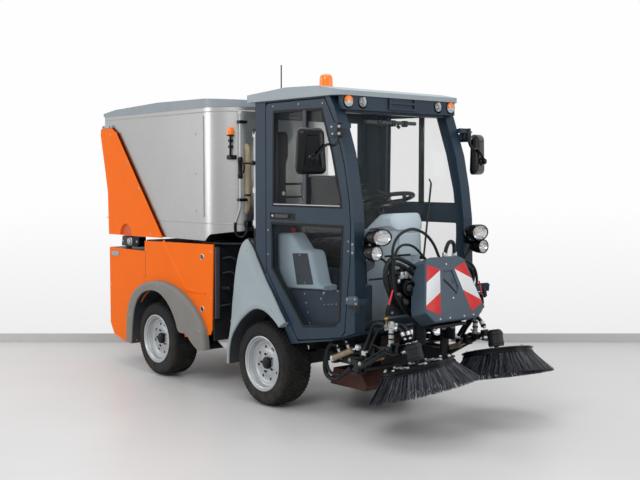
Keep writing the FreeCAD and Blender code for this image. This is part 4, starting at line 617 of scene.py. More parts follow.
def rim_form():
    """A dished silver rim with a stepped barrel, a black hub cap and five bolts."""
    form = Form()
    face = [(0.1715, 0.0965), (0.1735, 0.1), (0.17, 0.1022), (0.164, 0.1012), (0.16, 0.096), (0.158, 0.085),
            (0.152, 0.08), (0.149, 0.076), (0.1475, 0.064), (0.144, 0.057), (0.136, 0.0545),
            (0.128, 0.0535), (0.124, 0.049), (0.118, 0.0465), (0.088, 0.048), (0.08, 0.05), (0.074, 0.0515),
            (0.044, 0.052), (0.04, 0.051), (0.031, 0.0508), (0.0305, 0.044), (0.08, 0.043), (0.118, 0.04),
            (0.138, 0.048), (0.144, 0.03), (0.146, -0.085), (0.166, -0.096), (0.172, -0.0965),
            (0.17, -0.101), (0.15, -0.092), (0.1495, 0.03), (0.1515, 0.086)]
    form.lathe(face, 64, closed=True)
    for k in range(5):
        x, y, _ = polar(0.0575, TURN * (k + 0.5) / 5)
        form.plug([(0.0125, 0), (0.0125, 0.002), (0.0105, 0.0035)], 18, 1, move(x, y, 0.0518))
        form.hex_bolt(move(x, y, 0.0545), 0.0088, 2, washer=False)
    form.lathe([(0.036, 0.0505), (0.036, 0.066), (0.034, 0.07), (0.026, 0.0735), (0.012, 0.0745),
                (0, 0.0745)], 36, 3)
    for k in range(24):
        form.block((0.0345, -0.0013, 0.053), (0.0375, 0.0013, 0.068), 0, 3, spin(TURN * k / 24))
    # Eight dark discs with a raised lip stand for the holes in the dish: painted shade where the holes show
    # the dark inside of the wheel.
    for spot in around(8, 0.102, 0.0474, 0.3):
        form.lathe([(0, 0.0003), (0.0075, 0.0003), (0.0085, 0.0012), (0.0095, 0)], 16, 4, spot)
    valve = spin(0.9) @ move(0.14, 0, 0.055) @ axes((-0.35, 0, 1))
    form.plug([(0.0042, 0), (0.0042, 0.024), (0.0034, 0.025), (0.0034, 0.032)], 12, 3, valve)
    return form


def turned(form, place):
    """The same shape at another place."""
    form.v = [place @ p for p in form.v]
    return form


def wheels():
    for end, x in (("front", 0), ("rear", -WHEELBASE)):
        for side, sign in (("left", 1), ("right", -1)):
            place = at((x, WHEEL_Y * sign, TYRE_R), (0, sign, 0), (1, 0, 0))
            piece(f"tread_{end}_{side}", turned(tyre_form(), place), f"wheel_{end}_{side}", "tyre_rubber",
                  "rubber", stands_for=(f"tyre_{end}_{side}",), sharp=30)
            piece(f"dish_{end}_{side}", turned(rim_form(), place), f"wheel_{end}_{side}", "rim_silver",
                  "rim", "zinc", "black_plastic", "gloss_black", "seal",
                  stands_for=(f"rim_{end}_{side}",), sharp=40)


wheels()


# Brushes
BRISTLE_RADIUS, BRISTLE_END = 0.312, -0.158
BRISTLE_ROWS = ((0.202, 0.7, 84), (0.186, 0.54, 72), (0.166, 0.38, 60))
BRISTLES_IN_TUFT = 11


def brush_place(sign):
    up = Vector((-0.275, 0.1 * sign, 1)).normalized()
    return at((1.133, 0.34 * sign, 0.408), up, (1, 0, 0))


def brush_form(seed, place):
    """Ring plate with its bolts, and long bristles that spread outwards and end unevenly."""
    pick = random.Random(seed)
    form = Form()
    ring = [(0.06, -0.004), (0.205, -0.004), (0.212, -0.008), (0.212, -0.014), (0.203, -0.018),
            (0.203, -0.024), (0.21, -0.028), (0.21, -0.036), (0.202, -0.04), (0.15, -0.04), (0.14, -0.026),
            (0.06, -0.026)]
    form.lathe(ring, 64, 1, place, closed=True)
    for spot in around(12, 0.186, -0.004):
        form.hex_bolt(place @ spot, 0.0075, 2)
    for spot in around(6, 0.11, -0.004, 0.5):
        form.lathe([(0.012, 0), (0.02, 0), (0.02, 0.005), (0.012, 0.005)], 16, 2, place @ spot, closed=True)
    for row, (root, lean, count) in enumerate(BRISTLE_ROWS):
        for tuft in range(count):
            a0 = TURN * (tuft + 0.5 * (row % 2)) / count
            for _ in range(BRISTLES_IN_TUFT):
                a = a0 + pick.uniform(-0.022, 0.022)
                r0 = root + pick.uniform(-0.006, 0.004)
                out = lean + pick.uniform(-0.16, 0.12)
                swirl = pick.uniform(-0.16, 0.1) - 0.1
                reach = 0.15 + pick.uniform(-0.014, 0.01)
                bend = pick.uniform(0.02, 0.14)
                pts = []
                for t in (0, 0.45, 1):
                    r = min(r0 + reach * out * t + bend * reach * t * t * 0.35, BRISTLE_RADIUS)
                    z = max(-0.034 - reach * t * (1 - 0.2 * out * t), BRISTLE_END)
                    pts.append(place @ Vector(polar(r, a + swirl * t * 0.6, z)))
                # About a third of the strands take the pale bristle colour: painted highlights on single
                # strands.
                form.tube(pts, [0.0015, 0.0014, 0.001], 3, 0 if pick.random() < 0.68 else 3)
    return form


def brushes():
    for side, sign in (("left", 1), ("right", -1)):
        piece(f"sweeping_brush_{side}", brush_form(5 + sign, brush_place(sign)), f"brush_body_{side}",
              "black_plastic", "bristle", "gloss_black", "zinc", "bristle_highlight",
              stands_for=(f"brush_{side}",))


brushes()


# Fenders
def fender_height(q):
    """The front fender leans in towards its peak."""
    return 0.556 - 0.1 * max(0, q.y - 0.62)


def front_fender_section(s, a, b):
    length = (b - a).length
    k = min(1, length / 0.13)
    diagonal = min(1, max(0, (0.52 - s) / 0.1))
    ridge = (0.016 + 0.05 * diagonal) * k
    drop = 0.01 + 0.014 * diagonal

    def sunk(depth):
        return lambda q: fender_height(q) - depth

    return [(0, 0.362, 1), (0, sunk(drop + 0.01), 0), (0.002 * k, sunk(drop + 0.004), 0),
            (0.006 * k, sunk(drop), 0), (max(0.008 * k, ridge - 0.006 * k), sunk(0.003), 0),
            (ridge, sunk(0.0006), 0), (ridge + 0.006 * k, sunk(0), 0), (length * 0.55, sunk(0), 0),
            (length - 0.046 * k, sunk(0), 0), (length - 0.038 * k, sunk(-0.003), 0),
            (length - 0.03 * k, sunk(-0.0045), 0), (length - 0.01 * k, sunk(-0.0045), 0),
            (length - 0.004 * k, sunk(-0.003), 0), (length, sunk(0.003), 1), (length, 0.362, 1)]


FRONT_FENDER = [((0.204, 0.546), (0.18, 0.515)), ((0.165, 0.592), (0.14, 0.546)),
                ((0.115, 0.65), (0.1, 0.57)), ((0.058, 0.712), (0.06, 0.588)),
                ((-0.01, 0.782), (0.015, 0.602)), ((-0.066, 0.85), (-0.03, 0.607)),
                ((-0.12, 0.925), (-0.07, 0.602)), ((-0.168, 0.998), (-0.105, 0.59)),
                ((-0.205, 1.034), (-0.14, 0.571)), ((-0.245, 1.026), (-0.175, 0.548)),
                ((-0.276, 0.983), (-0.205, 0.527)), ((-0.298, 0.9), (-0.235, 0.5)),
                ((-0.309, 0.79), (-0.262, 0.472)), ((-0.312, 0.665), (-0.287, 0.442)),
                ((-0.326, 0.522), (-0.308, 0.414)), ((-0.352, 0.405), (-0.331, 0.365)),
                ((-0.378, 0.32), (-0.348, 0.29)), ((-0.382, 0.218), (-0.351, 0.217))]
REAR_FENDER = [((-0.646, 0.262), (-0.716, 0.25)), ((-0.656, 0.35), (-0.8, 0.296)),
               ((-0.668, 0.405), (-0.869, 0.346)), ((-0.72, 0.475), (-0.962, 0.353)),
               ((-0.8, 0.545), (-1.007, 0.432)), ((-0.906, 0.61), (-1.063, 0.503)),
               ((-1.03, 0.658), (-1.134, 0.562)), ((-1.174, 0.684), (-1.225, 0.604)),
               ((-1.3, 0.684), (-1.326, 0.611)), ((-1.44, 0.658), (-1.434, 0.589)),
               ((-1.557, 0.611), (-1.51, 0.54)), ((-1.64, 0.538), (-1.562, 0.47)),
               ((-1.683, 0.45), (-1.59, 0.39)), ((-1.702, 0.36), (-1.605, 0.3)),
               ((-1.714, 0.19), (-1.618, 0.186))]


def rear_fender_section(s, a, b):
    length = (b - a).length
    return [(0, 0.5075, 0), (0, 0.53, 0), (0.002, 0.541, 0), (0.007, 0.55, 0), (0.016, 0.5555, 0),
            (0.028, 0.5568, 0), (length - 0.03, 0.5568, 0), (length - 0.022, 0.556, 0),
            (length - 0.018, 0.5595, 0), (length - 0.006, 0.5595, 0), (length - 0.001, 0.557, 0),
            (length, 0.55, 1), (length, 0.348, 1), (length - 0.006, 0.348, 1), (length - 0.006, 0.5075, 1)]


@drawn("front_module", "fender_plastic", "fender_plastic", "liner", "zinc", both=True,
       stands_for=("front_fenders",), sharp=34)
def front_fender_shells(form):
    form.band(FRONT_FENDER, front_fender_section)
    for x, z in ((-0.205, 0.965), (-0.325, 0.5), (0.085, 0.622)):
        form.screws([(x, z)], fender_height(Vector((x, z, 0))) - 0.0004, 0.0065, 2)


# The rear fender shells take the darker, warmer copy of the fender plastic: painted shade and a painted
# reflection of the orange.
@drawn("rear_module", "fender_plastic", "rear_fender", "liner", "zinc", both=True,
       stands_for=("rear_fenders",), sharp=34)
def rear_fender_shells(form):
    form.band(REAR_FENDER, rear_fender_section)
    form.screws(((-0.7, 0.39), (-1.645, 0.4), (-1.235, 0.648)), 0.5566, 0.006, 2)


# Hood and hopper trim
HOOD_SIDE, HATCH_SIDE = 0.5148, 0.5262


def knob(form, x, z, out, radius, mat, height=0.012):
    form.plug([(radius, 0), (radius, height * 0.7), (radius * 0.85, height)], 20, mat, outward(x, -out, z))


@drawn("rear_module", "orange_plastic", "orange", "zinc", "gloss_black", "pale_plastic", both=True)
def hood_trim(form):
    groove = strip_outline([(-1.219, 0.975), (-0.926, 0.648), (-0.69, 0.648)], 0.0135)
    form.pan(groove, [(0, 0.513), (0, 0.5155), (0.0015, 0.5175), (0.005, 0.5187)], 0)
    form.plug([(0.015, 0), (0.0135, 0.003), (0.008, 0.0045)], 24, 0, outward(-0.69, -0.515, 0.648))
    for z in (0.889, 0.533):
        spot = outward(-0.722, -HOOD_SIDE, z)
        form.lathe([(0.015, 0.0004), (0.015, 0.002), (0.0175, 0.0034), (0.0205, 0.0026), (0.022, 0.0004)],
                   28, 1, spot, closed=True)
        form.plug([(0.0152, 0.0005), (0.0152, 0.0012), (0.006, 0.0016)], 24, 2, spot)
        form.block((-0.0014, -0.009, 0.0014), (0.0014, 0.009, 0.0026), 0.0004, 1, spot)
    form.pan(rounded((-1.972, 0.826), (-1.866, 0.86), 0.008), [(0, HOOD_SIDE), (0, 0.5185), (0.002, 0.5205),
                                                               (0.005, 0.521)], 3)
    seam = strip_outline([(-1.47, 0.885), (-1.47, 0.7), (-1.5, 0.69)], 0.0012)
    form.pan(seam, [(0, 0.5149), (0, 0.5153)], 2)
    form.screws(((-1.985, 0.6), (-1.985, 0.42), (-0.615, 0.93), (-0.612, 0.62)), HOOD_SIDE + 0.0001,
                0.0065, 1)


@drawn("rear_module", "black_plastic", "plum", "zinc", "hose")
def hood_end_strip(form):
    form.block((-0.585, -0.506, 0.48), (-0.572, -0.47, 0.962), 0.004, 0)
    form.tube([(-0.675, -0.43, 0.673), (-0.6, -0.43, 0.68), (-0.511, -0.43, 0.687)], 0.011, 12, 1)
    form.block((-0.54, -0.445, 0.676), (-0.505, -0.415, 0.7), 0.003, 2)
    for z in (0.56, 0.78, 0.88):
        form.tube([(-0.6, -0.47 + 0.03 * (z > 0.7), z), (-0.55, -0.4, z + 0.015), (-0.52, -0.34, z - 0.02)],
                  0.008, 10, 2)


@drawn("hatch_body", "orange_plastic", "orange", "orange_shaded", "zinc", "gloss_black", both=True)
def hatch_side_trim(form):
    half_ring = [polar(0.0915, math.pi * k / 24) for k in range(25)]
    pocket = [(-1.731 + x, 0.9905 + y) for x, y, _ in half_ring]
    # The pocket's inner walls and floor take the darker orange: painted shade in the recess.
    form.pan(pocket, [(0, 0.5092), (0, HATCH_SIDE), (0.0022, 0.5277), (0.0045, HATCH_SIDE), (0.01, 0.513),
                      (0.016, 0.511)], 0, SIDE, mats=[0, 0, 0, 1, 1])
    slant = strip_outline([(-1.872, 1.768), (-1.222, 1.001)], 0.0075)
    form.pan(slant, [(0, HATCH_SIDE), (0, 0.5275), (0.002, 0.5287), (0.0045, 0.529)], 0)
    form.screws(((-1.952, 1.752), (-1.372, 1.018), (-1.7, 1.54), (-1.535, 1.345)), HATCH_SIDE + 0.0006,
                0.0075, 2)
    form.pan(rounded((-2.088, 1.8015), (-1.935, 1.8255), 0.005),
             [(0, 0.47), (0, 0.5235), (0.003, HATCH_SIDE)], 2)
    form.screws(((-2.06, 1.8135), (-1.965, 1.8135)), HATCH_SIDE - 0.0001, 0.0055, 3)


@drawn("hatch_body", "black_plastic", "gloss_black", "zinc", "orange_shaded")
def hatch_rear_trim(form):
    for y in (-0.3, 0.3):
        lock = at((-1.9985, y, 1.07), (-1, 0, 0), (0, 1, 0))
        form.pan(rounded((-0.055, -0.03), (0.055, 0.03), 0.01), [(0, -0.004), (0, 0.006), (0.003, 0.01),
                                                                 (0.006, 0.011)], 0, lock)
        form.block((-0.03, -0.01, 0.01), (0.03, 0.01, 0.024), 0.005, 1, lock, 3)
    for y in (-0.17, 0.17):
        form.tube([(-2.003, y, 1.17), (-2.035, y, 1.19), (-2.036, y, 1.3), (-2.014, y, 1.33)], 0.009, 12, 1)
    # The slats take the same darker orange: painted shade.
    for z in (1.42, 1.46, 1.5, 1.54):
        form.block((-2.056 - (z - 1.42) * 0.25, -0.36, z), (-2.04 - (z - 1.42) * 0.25, 0.36, z + 0.012),
                   0.003, 2)


@drawn("hopper_body", "black_plastic", "gloss_black", "zinc", "hose", both=True)
def hopper_brackets(form):
    bracket = [(-1.865, 0.906), (-1.62, 0.906), (-1.598, 0.935), (-1.606, 0.982), (-1.852, 0.982)]
    form.pan(bracket, [(0, 0.43), (0, 0.486), (0.003, 0.492), (0.006, 0.493)], 0)
    form.plug([(0.034, 0), (0.034, 0.006), (0.027, 0.01), (0.024, 0.018), (0.01, 0.021)], 28, 1,
              outward(-1.724, -0.492, 0.946))
    form.screws(((-1.835, 0.945), (-1.63, 0.945)), 0.4928, 0.01, 1, 0.005)
    tray = [(-0.745, 0.992), (-0.42, 0.992), (-0.372, 1.04), (-0.42, 1.066), (-0.64, 1.03), (-0.745, 0.999)]
    form.pan(tray, [(0, 0.02), (0, 0.232), (0.004, 0.238), (0.008, 0.24)], 0)
    form.hose([(-0.74, -0.47, 0.985), (-0.6, -0.465, 0.984), (-0.5, -0.41, 0.985), (-0.42, -0.33, 0.988),
               (-0.385, -0.22, 1), (-0.37, -0.05, 1)], 5, 0.009, 10, 2)


@drawn("hopper_body", "hopper_steel", "steel", both=True)
def hopper_folds(form):
    corner = [polar(0.2805, math.radians(a)) for a in range(-81, 1, 9)]
    line = [(-2.06, -0.5085), (-0.7, -0.5085), *((-0.7 + x, -0.228 + y) for x, y, _ in corner), (-0.4195, 0)]
    for z in (1.865, 1.118):
        form.tube([(x, y, z) for x, y in line], 0.0035, 6, 0)
    for z in (1.2, 1.45, 1.72):
        knob(form, -0.8, z, 0.508, 0.007, 0, 0.003)
    form.tube([(-0.7, -0.512, 1.16), (-0.7, -0.512, 1.84)], 0.0022, 6, 0)


# Front cover
@drawn("front_module", "cab_paint", "cover_paint", "white_film", "red_film", "zinc", "gloss_black", "tan",
       "navy", stands_for=("front_cover",), sharp=30)
def front_shroud(form):
    lean = math.radians(16.6)
    face = move(1.019, 0, 0.973) @ Matrix(((0, -math.sin(lean), math.cos(lean), 0), (1, 0, 0, 0),
                                           (0, math.cos(lean), math.sin(lean), 0), (0, 0, 0, 1)))
    outline = [(0.109, 0), (0.15, -0.014), (0.169, -0.03), (0.246, -0.288), (0.247, -0.312), (0.19, -0.37),
               (0.18, -0.374)]
    outline += [(-x, y) for x, y in outline[::-1]]
    slot = [(-0.04, -0.084), (0.04, -0.084), (0.062, -0.188), (0.034, -0.228), (-0.034, -0.228),
            (-0.062, -0.188)]
    form.pan(outline, [(0.005, -0.007), (0.005, -0.112), (0, -0.112), (0, -0.01), (0.0015, -0.004),
                       (0.005, -0.001), (0.01, 0)], 0, face, hole=slot, depth=0.04, floor_mat=4)
    for sign in (1, -1):
        top, inner, low, outer = ((-0.158, -0.043), (-0.06, -0.074), (-0.132, -0.335), (-0.236, -0.292))
        first, second = (-0.19, -0.142), (-0.231, -0.272)
        third, fourth = (-0.0615, -0.079), (-0.0965, -0.206)
        for corners, mat in (([top, inner, third, first], 2), ([first, third, fourth, second], 1),
                             ([second, fourth, low, outer], 2)):
            form.pan([(x * sign, y) for x, y in corners],
                     [(0, -0.0003), (0, 0.0004), (0.00006, 0.00054), (0.0002, 0.0006)], mat, face)
    for x, y in ((0, -0.047), (0, -0.246)):
        form.plug([(0.007, 0), (0.0062, 0.0025), (0.004, 0.0035)], 16, 3, face @ move(x, y, 0))
    form.block((-0.04, -0.18, -0.036), (-0.006, -0.1, -0.012), 0.006, 5, face)
    form.block((0.004, -0.15, -0.036), (0.036, -0.092, -0.018), 0.005, 6, face)
    form.tube([face @ Vector(q) for q in ((-0.045, -0.13, -0.01), (-0.01, -0.16, -0.008),
                                          (0.04, -0.215, -0.012))], 0.007, 10, 4)
    form.tube([face @ Vector(q) for q in ((0.02, -0.095, -0.014), (0.03, -0.15, -0.01),
                                          (0.055, -0.19, -0.014))], 0.005, 10, 4)
    for y in (-0.06, 0.06, -0.14, 0.14):
        form.lathe([(0, 0), (0.006, 0), (0.005, 0.0025), (0, 0.003)], 12, 3, face @ move(y, -0.356, 0))


@drawn("front_module", "black_plastic", "hose", "zinc", "gloss_black")
def shroud_top_hose(form):
    form.hose([(0.985, 0.04, 0.955), (0.992, 0.042, 1.01), (0.996, 0.06, 1.046), (0.997, 0.085, 1.052),
               (0.994, 0.108, 1.03), (0.985, 0.122, 0.965)], 6, 0.0115, 12, 0)
    for y, z, length in ((0.04, 0.958, 0.03), (0.122, 0.962, 0.024)):
        form.lathe([(0.0135, 0), (0.0155, 0.002), (0.0155, length), (0.0125, length + 0.006)], 16, 1,
                   move(0.985, y, z))
    form.block((0.955, 0.015, 0.9), (1, 0.15, 0.964), 0.006, 2)


# Lamps
def lens(form, place, radius, squash, bulge, dish_mat, glass_mat, bulb_mat):
    """A reflector with its bulb behind a clear lens."""
    form.lathe([(radius, 0), (radius * 0.86, -0.012), (radius * 0.55, -0.026), (radius * 0.16, -0.034),
                (0, -0.034)], 36, dish_mat, place, squash=squash)
    form.lathe([(0, -0.034), (radius * 0.17, -0.03), (radius * 0.17, -0.012), (radius * 0.08, -0.006),
                (0, -0.006)], 16, bulb_mat, place)
    for k in range(7):
        x = radius * (-0.72 + 0.24 * k)
        reach = math.sqrt(max(0, 1 - (x / radius) ** 2)) * radius * squash * 0.92
        form.tube([place @ Vector((x, -reach, 0.0015)), place @ Vector((x, reach, 0.0015))], 0.0007, 5,
                  glass_mat)
    form.lathe([(radius * 0.97, -0.002), (radius * 0.98, 0.002), (radius * 0.8, bulge * 0.6),
                (radius * 0.45, bulge * 0.92), (0, bulge)], 36, glass_mat, place, squash=squash)


@drawn("front_module", "lamp_lens", "gloss_black", "chrome", "lens_cover", "bulb", "zinc", "hose",
       both=True, stands_for=("headlamps",))
def front_lamps(form):
    for y, z, radius, squash, x in ((-0.414, 1.092, 0.067, 0.63, 0.929),
                                    (-0.452, 1.005, 0.041, 0.92, 0.924)):
        place = at((x, y, z), (1, 0, 0), (0, -1, 0))
        form.lathe([(radius * 0.99, 0.001), (radius * 1.04, 0.007), (radius * 1.12, 0.004),
                    (radius * 1.14, -0.01), (radius * 1.1, -0.04), (radius * 0.92, -0.072),
                    (radius * 0.55, -0.094), (0, -0.1)], 36, 0, place, squash=squash * 1.03)
        lens(form, place, radius, squash, 0.009, 1, 2, 3)
    form.tube([(0.85, -0.4, 1.08), (0.815, -0.402, 1.084), (0.782, -0.425, 1.086), (0.768, -0.47, 1.08)],
              0.011, 12, 0)
    form.tube([(0.862, -0.446, 1.004), (0.828, -0.44, 1.02), (0.8, -0.43, 1.05)], 0.009, 12, 0)
    form.block((0.822, -0.47, 1.02), (0.838, -0.382, 1.075), 0.004, 0)
    form.hex_bolt(at((0.838, -0.425, 1.048), (1, 0, 0)), 0.007, 4)
    form.hex_bolt(at((0.838, -0.455, 1.03), (1, 0, 0)), 0.005, 4)
    for k in range(5):
        form.hose([(0.842, -0.436 + 0.004 * k, 1), (0.828, -0.425 + 0.012 * k, 0.955 - 0.006 * k),
                   (0.8, -0.41, 0.94 - 0.012 * k)], 5, 0.0035, 8, 5)


@drawn("front_module", "lamp_lens", "gloss_black", "amber", "clear_lens", "chrome", "lens_cover", "bulb",
       both=True, stands_for=("roof_lamps",))
def roof_lamp_units(form):
    for y, radius, amber in ((-0.43, 0.0355, True), (-0.318, 0.033, False)):
        place = at((0.664, y, 1.863), (1, 0, 0), (0, 1, 0))
        form.lathe([(radius * 0.94, 0.001), (radius, 0.006), (radius * 1.01, 0.004),
                    (radius * 1.01, -0.014), (0, -0.014)], 32, 0, place)
        dome = [(radius * 0.95, 0.002), (radius * 0.9, 0.008), (radius * 0.62, 0.0125),
                (radius * 0.3, 0.014), (0, 0.0145)]
        if amber:
            form.lathe(dome, 16, 1, place, turn=0.5)
            form.lathe(dome, 16, 2, place @ spin(math.pi), turn=0.5)
            form.block((-radius * 0.92, -0.0012, 0), (radius * 0.92, 0.0012, 0.013), 0.0005, 0, place)
        else:
            lens(form, place, radius * 0.95, 1, 0.008, 3, 4, 5)


@drawn("front_module", "amber_lens", "gloss_black", "amber", "chrome", stands_for=("beacon",))
def beacon_lamp(form):
    base = move(-0.03, 0, 1.9505)
    form.plug([(0.056, 0), (0.056, 0.018), (0.052, 0.024), (0.047, 0.026)], 40, 0, base)
    wall = [(0.046, 0.026)]
    for k in range(11):
        z = 0.03 + 0.008 * k
        wall += [(0.0462 - 0.0002 * k, z), (0.0448 - 0.0002 * k, z + 0.004)]
    wall += [(0.0425, 0.122), (0.039, 0.134), (0.03, 0.144), (0.014, 0.1485), (0, 0.149)]
    form.lathe(wall, 40, 1, base)
    form.lathe([(0, 0.03), (0.02, 0.03), (0.022, 0.07), (0.018, 0.085), (0, 0.09)], 20, 2, base)


# Doors and mirrors
UPPER_WINDOW = [(0.057, 1.829), (0.512, 1.822), (0.605, 1.57), (0.677, 1.304), (0.684, 1.257),
                (0.049, 1.257)]
LOWER_WINDOW = [(0.033, 1.146), (0.696, 1.146), (0.688, 0.949), (0.67, 0.608), (0.623, 0.571),
                (0.342, 0.537), (0.037, 0.867)]


@drawn_twice("door_body", "black_plastic", "seal", "panel_grey", "zinc", "gloss_black", "handle_grip",
             "zinc")
def door_trim(form):
    for window in (UPPER_WINDOW, LOWER_WINDOW):
        form.seal(window, 0.008, 0.488, 0.5022)
    form.pan(rounded((0.339, 1.262), (0.371, 1.826), 0.002), [(0, 0.486), (0, 0.5008), (0.003, 0.503)], 1)
    form.pan(rounded((0.365, 1.262), (0.377, 1.826), 0.002), [(0, 0.486), (0, 0.5), (0.002, 0.5012)], 0)
    form.pan(rounded((0.058, 1.2605), (0.676, 1.2665), 0.001), [(0, 0.498), (0, 0.503), (0.0015, 0.5042)],
             2)
    form.pan(rounded((0.02, 1.168), (0.268, 1.214), 0.008), [(0, 0.497), (0, 0.501), (0.002, 0.5028)], 3,
             SIDE, hole=rounded((0.028, 1.175), (0.26, 1.207), 0.006), depth=0.005, floor_mat=0)
    form.pan(rounded((0.072, 1.18), (0.205, 1.202), 0.006), [(0, 0.496), (0, 0.505), (0.003, 0.5075)], 4)
    form.plug([(0.0085, 0), (0.0085, 0.002), (0.0065, 0.004)], 20, 5, outward(0.046, -0.5005, 1.191))
    form.screws(((0.055, 1.862), (0.3, 1.862), (0.52, 1.855), (0, 1.1), (0, 0.95), (0.745, 1.065),
                 (0.745, 1.01)), 0.5003, 0.0055, 5)


@drawn("front_module", "black_plastic", "gloss_black", "mirror", "gloss_black", "cab_paint", "zinc",
       both=True, stands_for=("mirrors",), sharp=34)
def side_mirrors(form):
    turn = move(0.655, -0.7, 1.57) @ spin(math.radians(-20)) @ axes((1, 0, 0), (0, -1, 0))
    joint = turn @ move(0, 0.04, 0)
    shell = []
    for quarter, (x, y, r) in enumerate(((0.058, 0.094, 0.032), (-0.058, 0.094, 0.032),
                                         (-0.042, -0.096, 0.036), (0.044, -0.098, 0.036))):
        for k in range(6):
            dx, dy, _ = polar(r, TURN / 4 * (quarter + k / 5))
            shell.append((x + dx, y + dy))
    form.pan(shell, [(0.008, -0.012), (0.003, -0.016), (0, -0.012), (0, 0), (0.003, 0.01), (0.009, 0.018),
                     (0.018, 0.024), (0.032, 0.029), (0.048, 0.031)], 0, turn)
    form.pan(shell, [(0.01, -0.0105), (0.009, -0.014), (0.0095, -0.0142)], 1,
             turn @ spin(math.pi, "X") @ move(0, 0, 0.0262))
    form.lathe([(0.03, 0.028), (0.03, 0.034), (0.022, 0.04), (0.014, 0.042), (0, 0.042)], 24, 2,
               joint)
    form.lathe([(0, 0.036), (0.012, 0.038), (0.018, 0.046), (0.019, 0.054), (0.015, 0.062), (0, 0.066)], 20,
               2, joint)
    ball = joint @ Vector((0, 0, 0.056))
    form.hose([ball, (0.712, -0.64, 1.606), (0.722, -0.59, 1.606), (0.72, -0.56, 1.625),
               (0.716, -0.545, 1.66)], 6, 0.0078, 12, 2)
    form.lathe([(0.015, 0), (0.018, 0.003), (0.018, 0.08), (0.015, 0.084), (0, 0.084)], 20, 2,
               move(0.716, -0.54, 1.65))
    form.block((0.65, -0.552, 1.65), (0.722, -0.532, 1.734), 0.006, 3)
    form.screws(((0.66, 1.712), (0.668, 1.672)), 0.5515, 0.0065, 4, 0.004)
    for z in (1.672, 1.712):
        form.hex_bolt(at((0.728, -0.556, z), (0.6, -1, 0)), 0.0065, 4)
    form.block((0.64, -0.54, 1.668), (0.7, -0.498, 1.7), 0.004, 3)


@drawn("front_module", "cab_paint", "cover_paint", "zinc", both=True)
def hinge_plates(form):
    form.pan([(0.79, 0.718), (0.884, 0.718), (0.89, 0.762), (0.872, 0.77), (0.79, 0.758)],
             [(0.001, 0.5548), (0, 0.5555), (0, 0.5585), (0.002, 0.56)], 0)
    form.screws(((0.866, 0.752), (0.874, 0.728), (0.802, 0.746)), 0.5598, 0.0065, 1, 0.004)
    form.pan([(0.768, 1.06), (0.796, 1.062), (0.796, 0.992), (0.77, 0.99)],
             [(0, 0.499), (0, 0.5015), (0.001, 0.5025)], 0)
    form.screws(((0.782, 1.05), (0.782, 1.003)), 0.5024, 0.006, 1, 0.003)


# Inside the cab
CUSHION_SWELL, CUSHION_VOXEL, CLOTH_STEPS = 0.01, 0.007, 20
KICK_PANEL_FACE = 0.4338


def puffed(obj, swell):
    """Blow a closed shape up as stuffed cloth, no point moving further than swell."""
    def baked():
        view = bpy.context.evaluated_depsgraph_get()
        return bpy.data.meshes.new_from_object(obj.evaluated_get(view))

    remesh = obj.modifiers.new("remesh", "REMESH")
    remesh.mode = "VOXEL"
    remesh.voxel_size = CUSHION_VOXEL
    remesh.use_smooth_shade = True
    fine = baked()
    obj.modifiers.clear()
    keys = list(obj.data.materials)
    obj.data = fine
    if not obj.data.materials:
        for key in keys:
            obj.data.materials.append(key)
    start = [v.co.copy() for v in obj.data.vertices]
    cloth = obj.modifiers.new("cloth", "CLOTH")
    cloth.settings.use_pressure = True
    cloth.settings.uniform_pressure_force = 4
    cloth.settings.effector_weights.gravity = 0
    cloth.settings.quality = 4
    cloth.point_cache.frame_start = 1
    cloth.point_cache.frame_end = CLOTH_STEPS
    scene = bpy.context.scene
    for number in range(1, CLOTH_STEPS + 1):
        scene.frame_set(number)
    soft = baked()
    ends = [v.co.copy() for v in soft.vertices]
    obj.modifiers.clear()
    scene.frame_set(1)
    for vertex, a, b in zip(obj.data.vertices, start, ends):
        way = b - a
        if way.length > swell:
            way = way.normalized() * swell
        vertex.co = a + way
    for polygon in obj.data.polygons:
        polygon.use_smooth = True


def cushion(name, low, high, place, welts, rise_share):
    """A crowned closed pad with sides that pull in, and sewn channels across its face."""
    work = bmesh.new()
    bmesh.ops.create_cube(work, size=1)
    bmesh.ops.subdivide_edges(work, edges=list(work.edges), cuts=11, use_grid_fill=True)
    size = [high[i] - low[i] for i in range(3)]
    for v in work.verts:
        x, y, z = v.co * 2
        tuck = 1 - 0.035 * (1 - abs(z)) * (abs(x) ** 6 + abs(y) ** 6)
        round_x = 1 - 0.1 * abs(y) ** 5 - 0.05 * abs(z) ** 6
        round_y = 1 - 0.1 * abs(x) ** 5 - 0.05 * abs(z) ** 6
        rise = z * (1 - 0.16 * (abs(x) ** 4 + abs(y) ** 4))
        if z > 0:
            rise += rise_share * (1 - x * x) * (1 - y * y)
            for welt in welts:
                rise -= 0.11 * math.exp(-((x - welt) / 0.055) ** 2)
            rise += 0.17 * max(0, abs(y) - 0.58) / 0.42 * (1 - abs(y) ** 8)
        v.co = Vector(((low[0] + high[0]) / 2 + size[0] / 2 * x * round_x * tuck,
                       (low[1] + high[1]) / 2 + size[1] / 2 * y * round_y * tuck,
                       (low[2] + high[2]) / 2 + size[2] / 2 * rise))
    form = Form()
    form.take(work, 0, place)
    obj = piece(name, form, "front_module", "black_plastic", "seat_cloth", stands_for=("seat",), sharp=180)
    puffed(obj, CUSHION_SWELL)
    smooth = obj.modifiers.new("smooth", "SUBSURF")
    smooth.levels = smooth.render_levels = 1


cushion("seat_cushion", (-0.205, -0.205, -0.045), (0.185, 0.205, 0.045), move(0.19, 0, 0.985), (-0.35, 0.3),
        0.12)
cushion("seat_back", (0, -0.195, -0.045), (0.42, 0.195, 0.04),
        move(0.005, 0, 1.035) @ spin(math.radians(-99), "Y"), (-0.3, 0.25), 0.1)


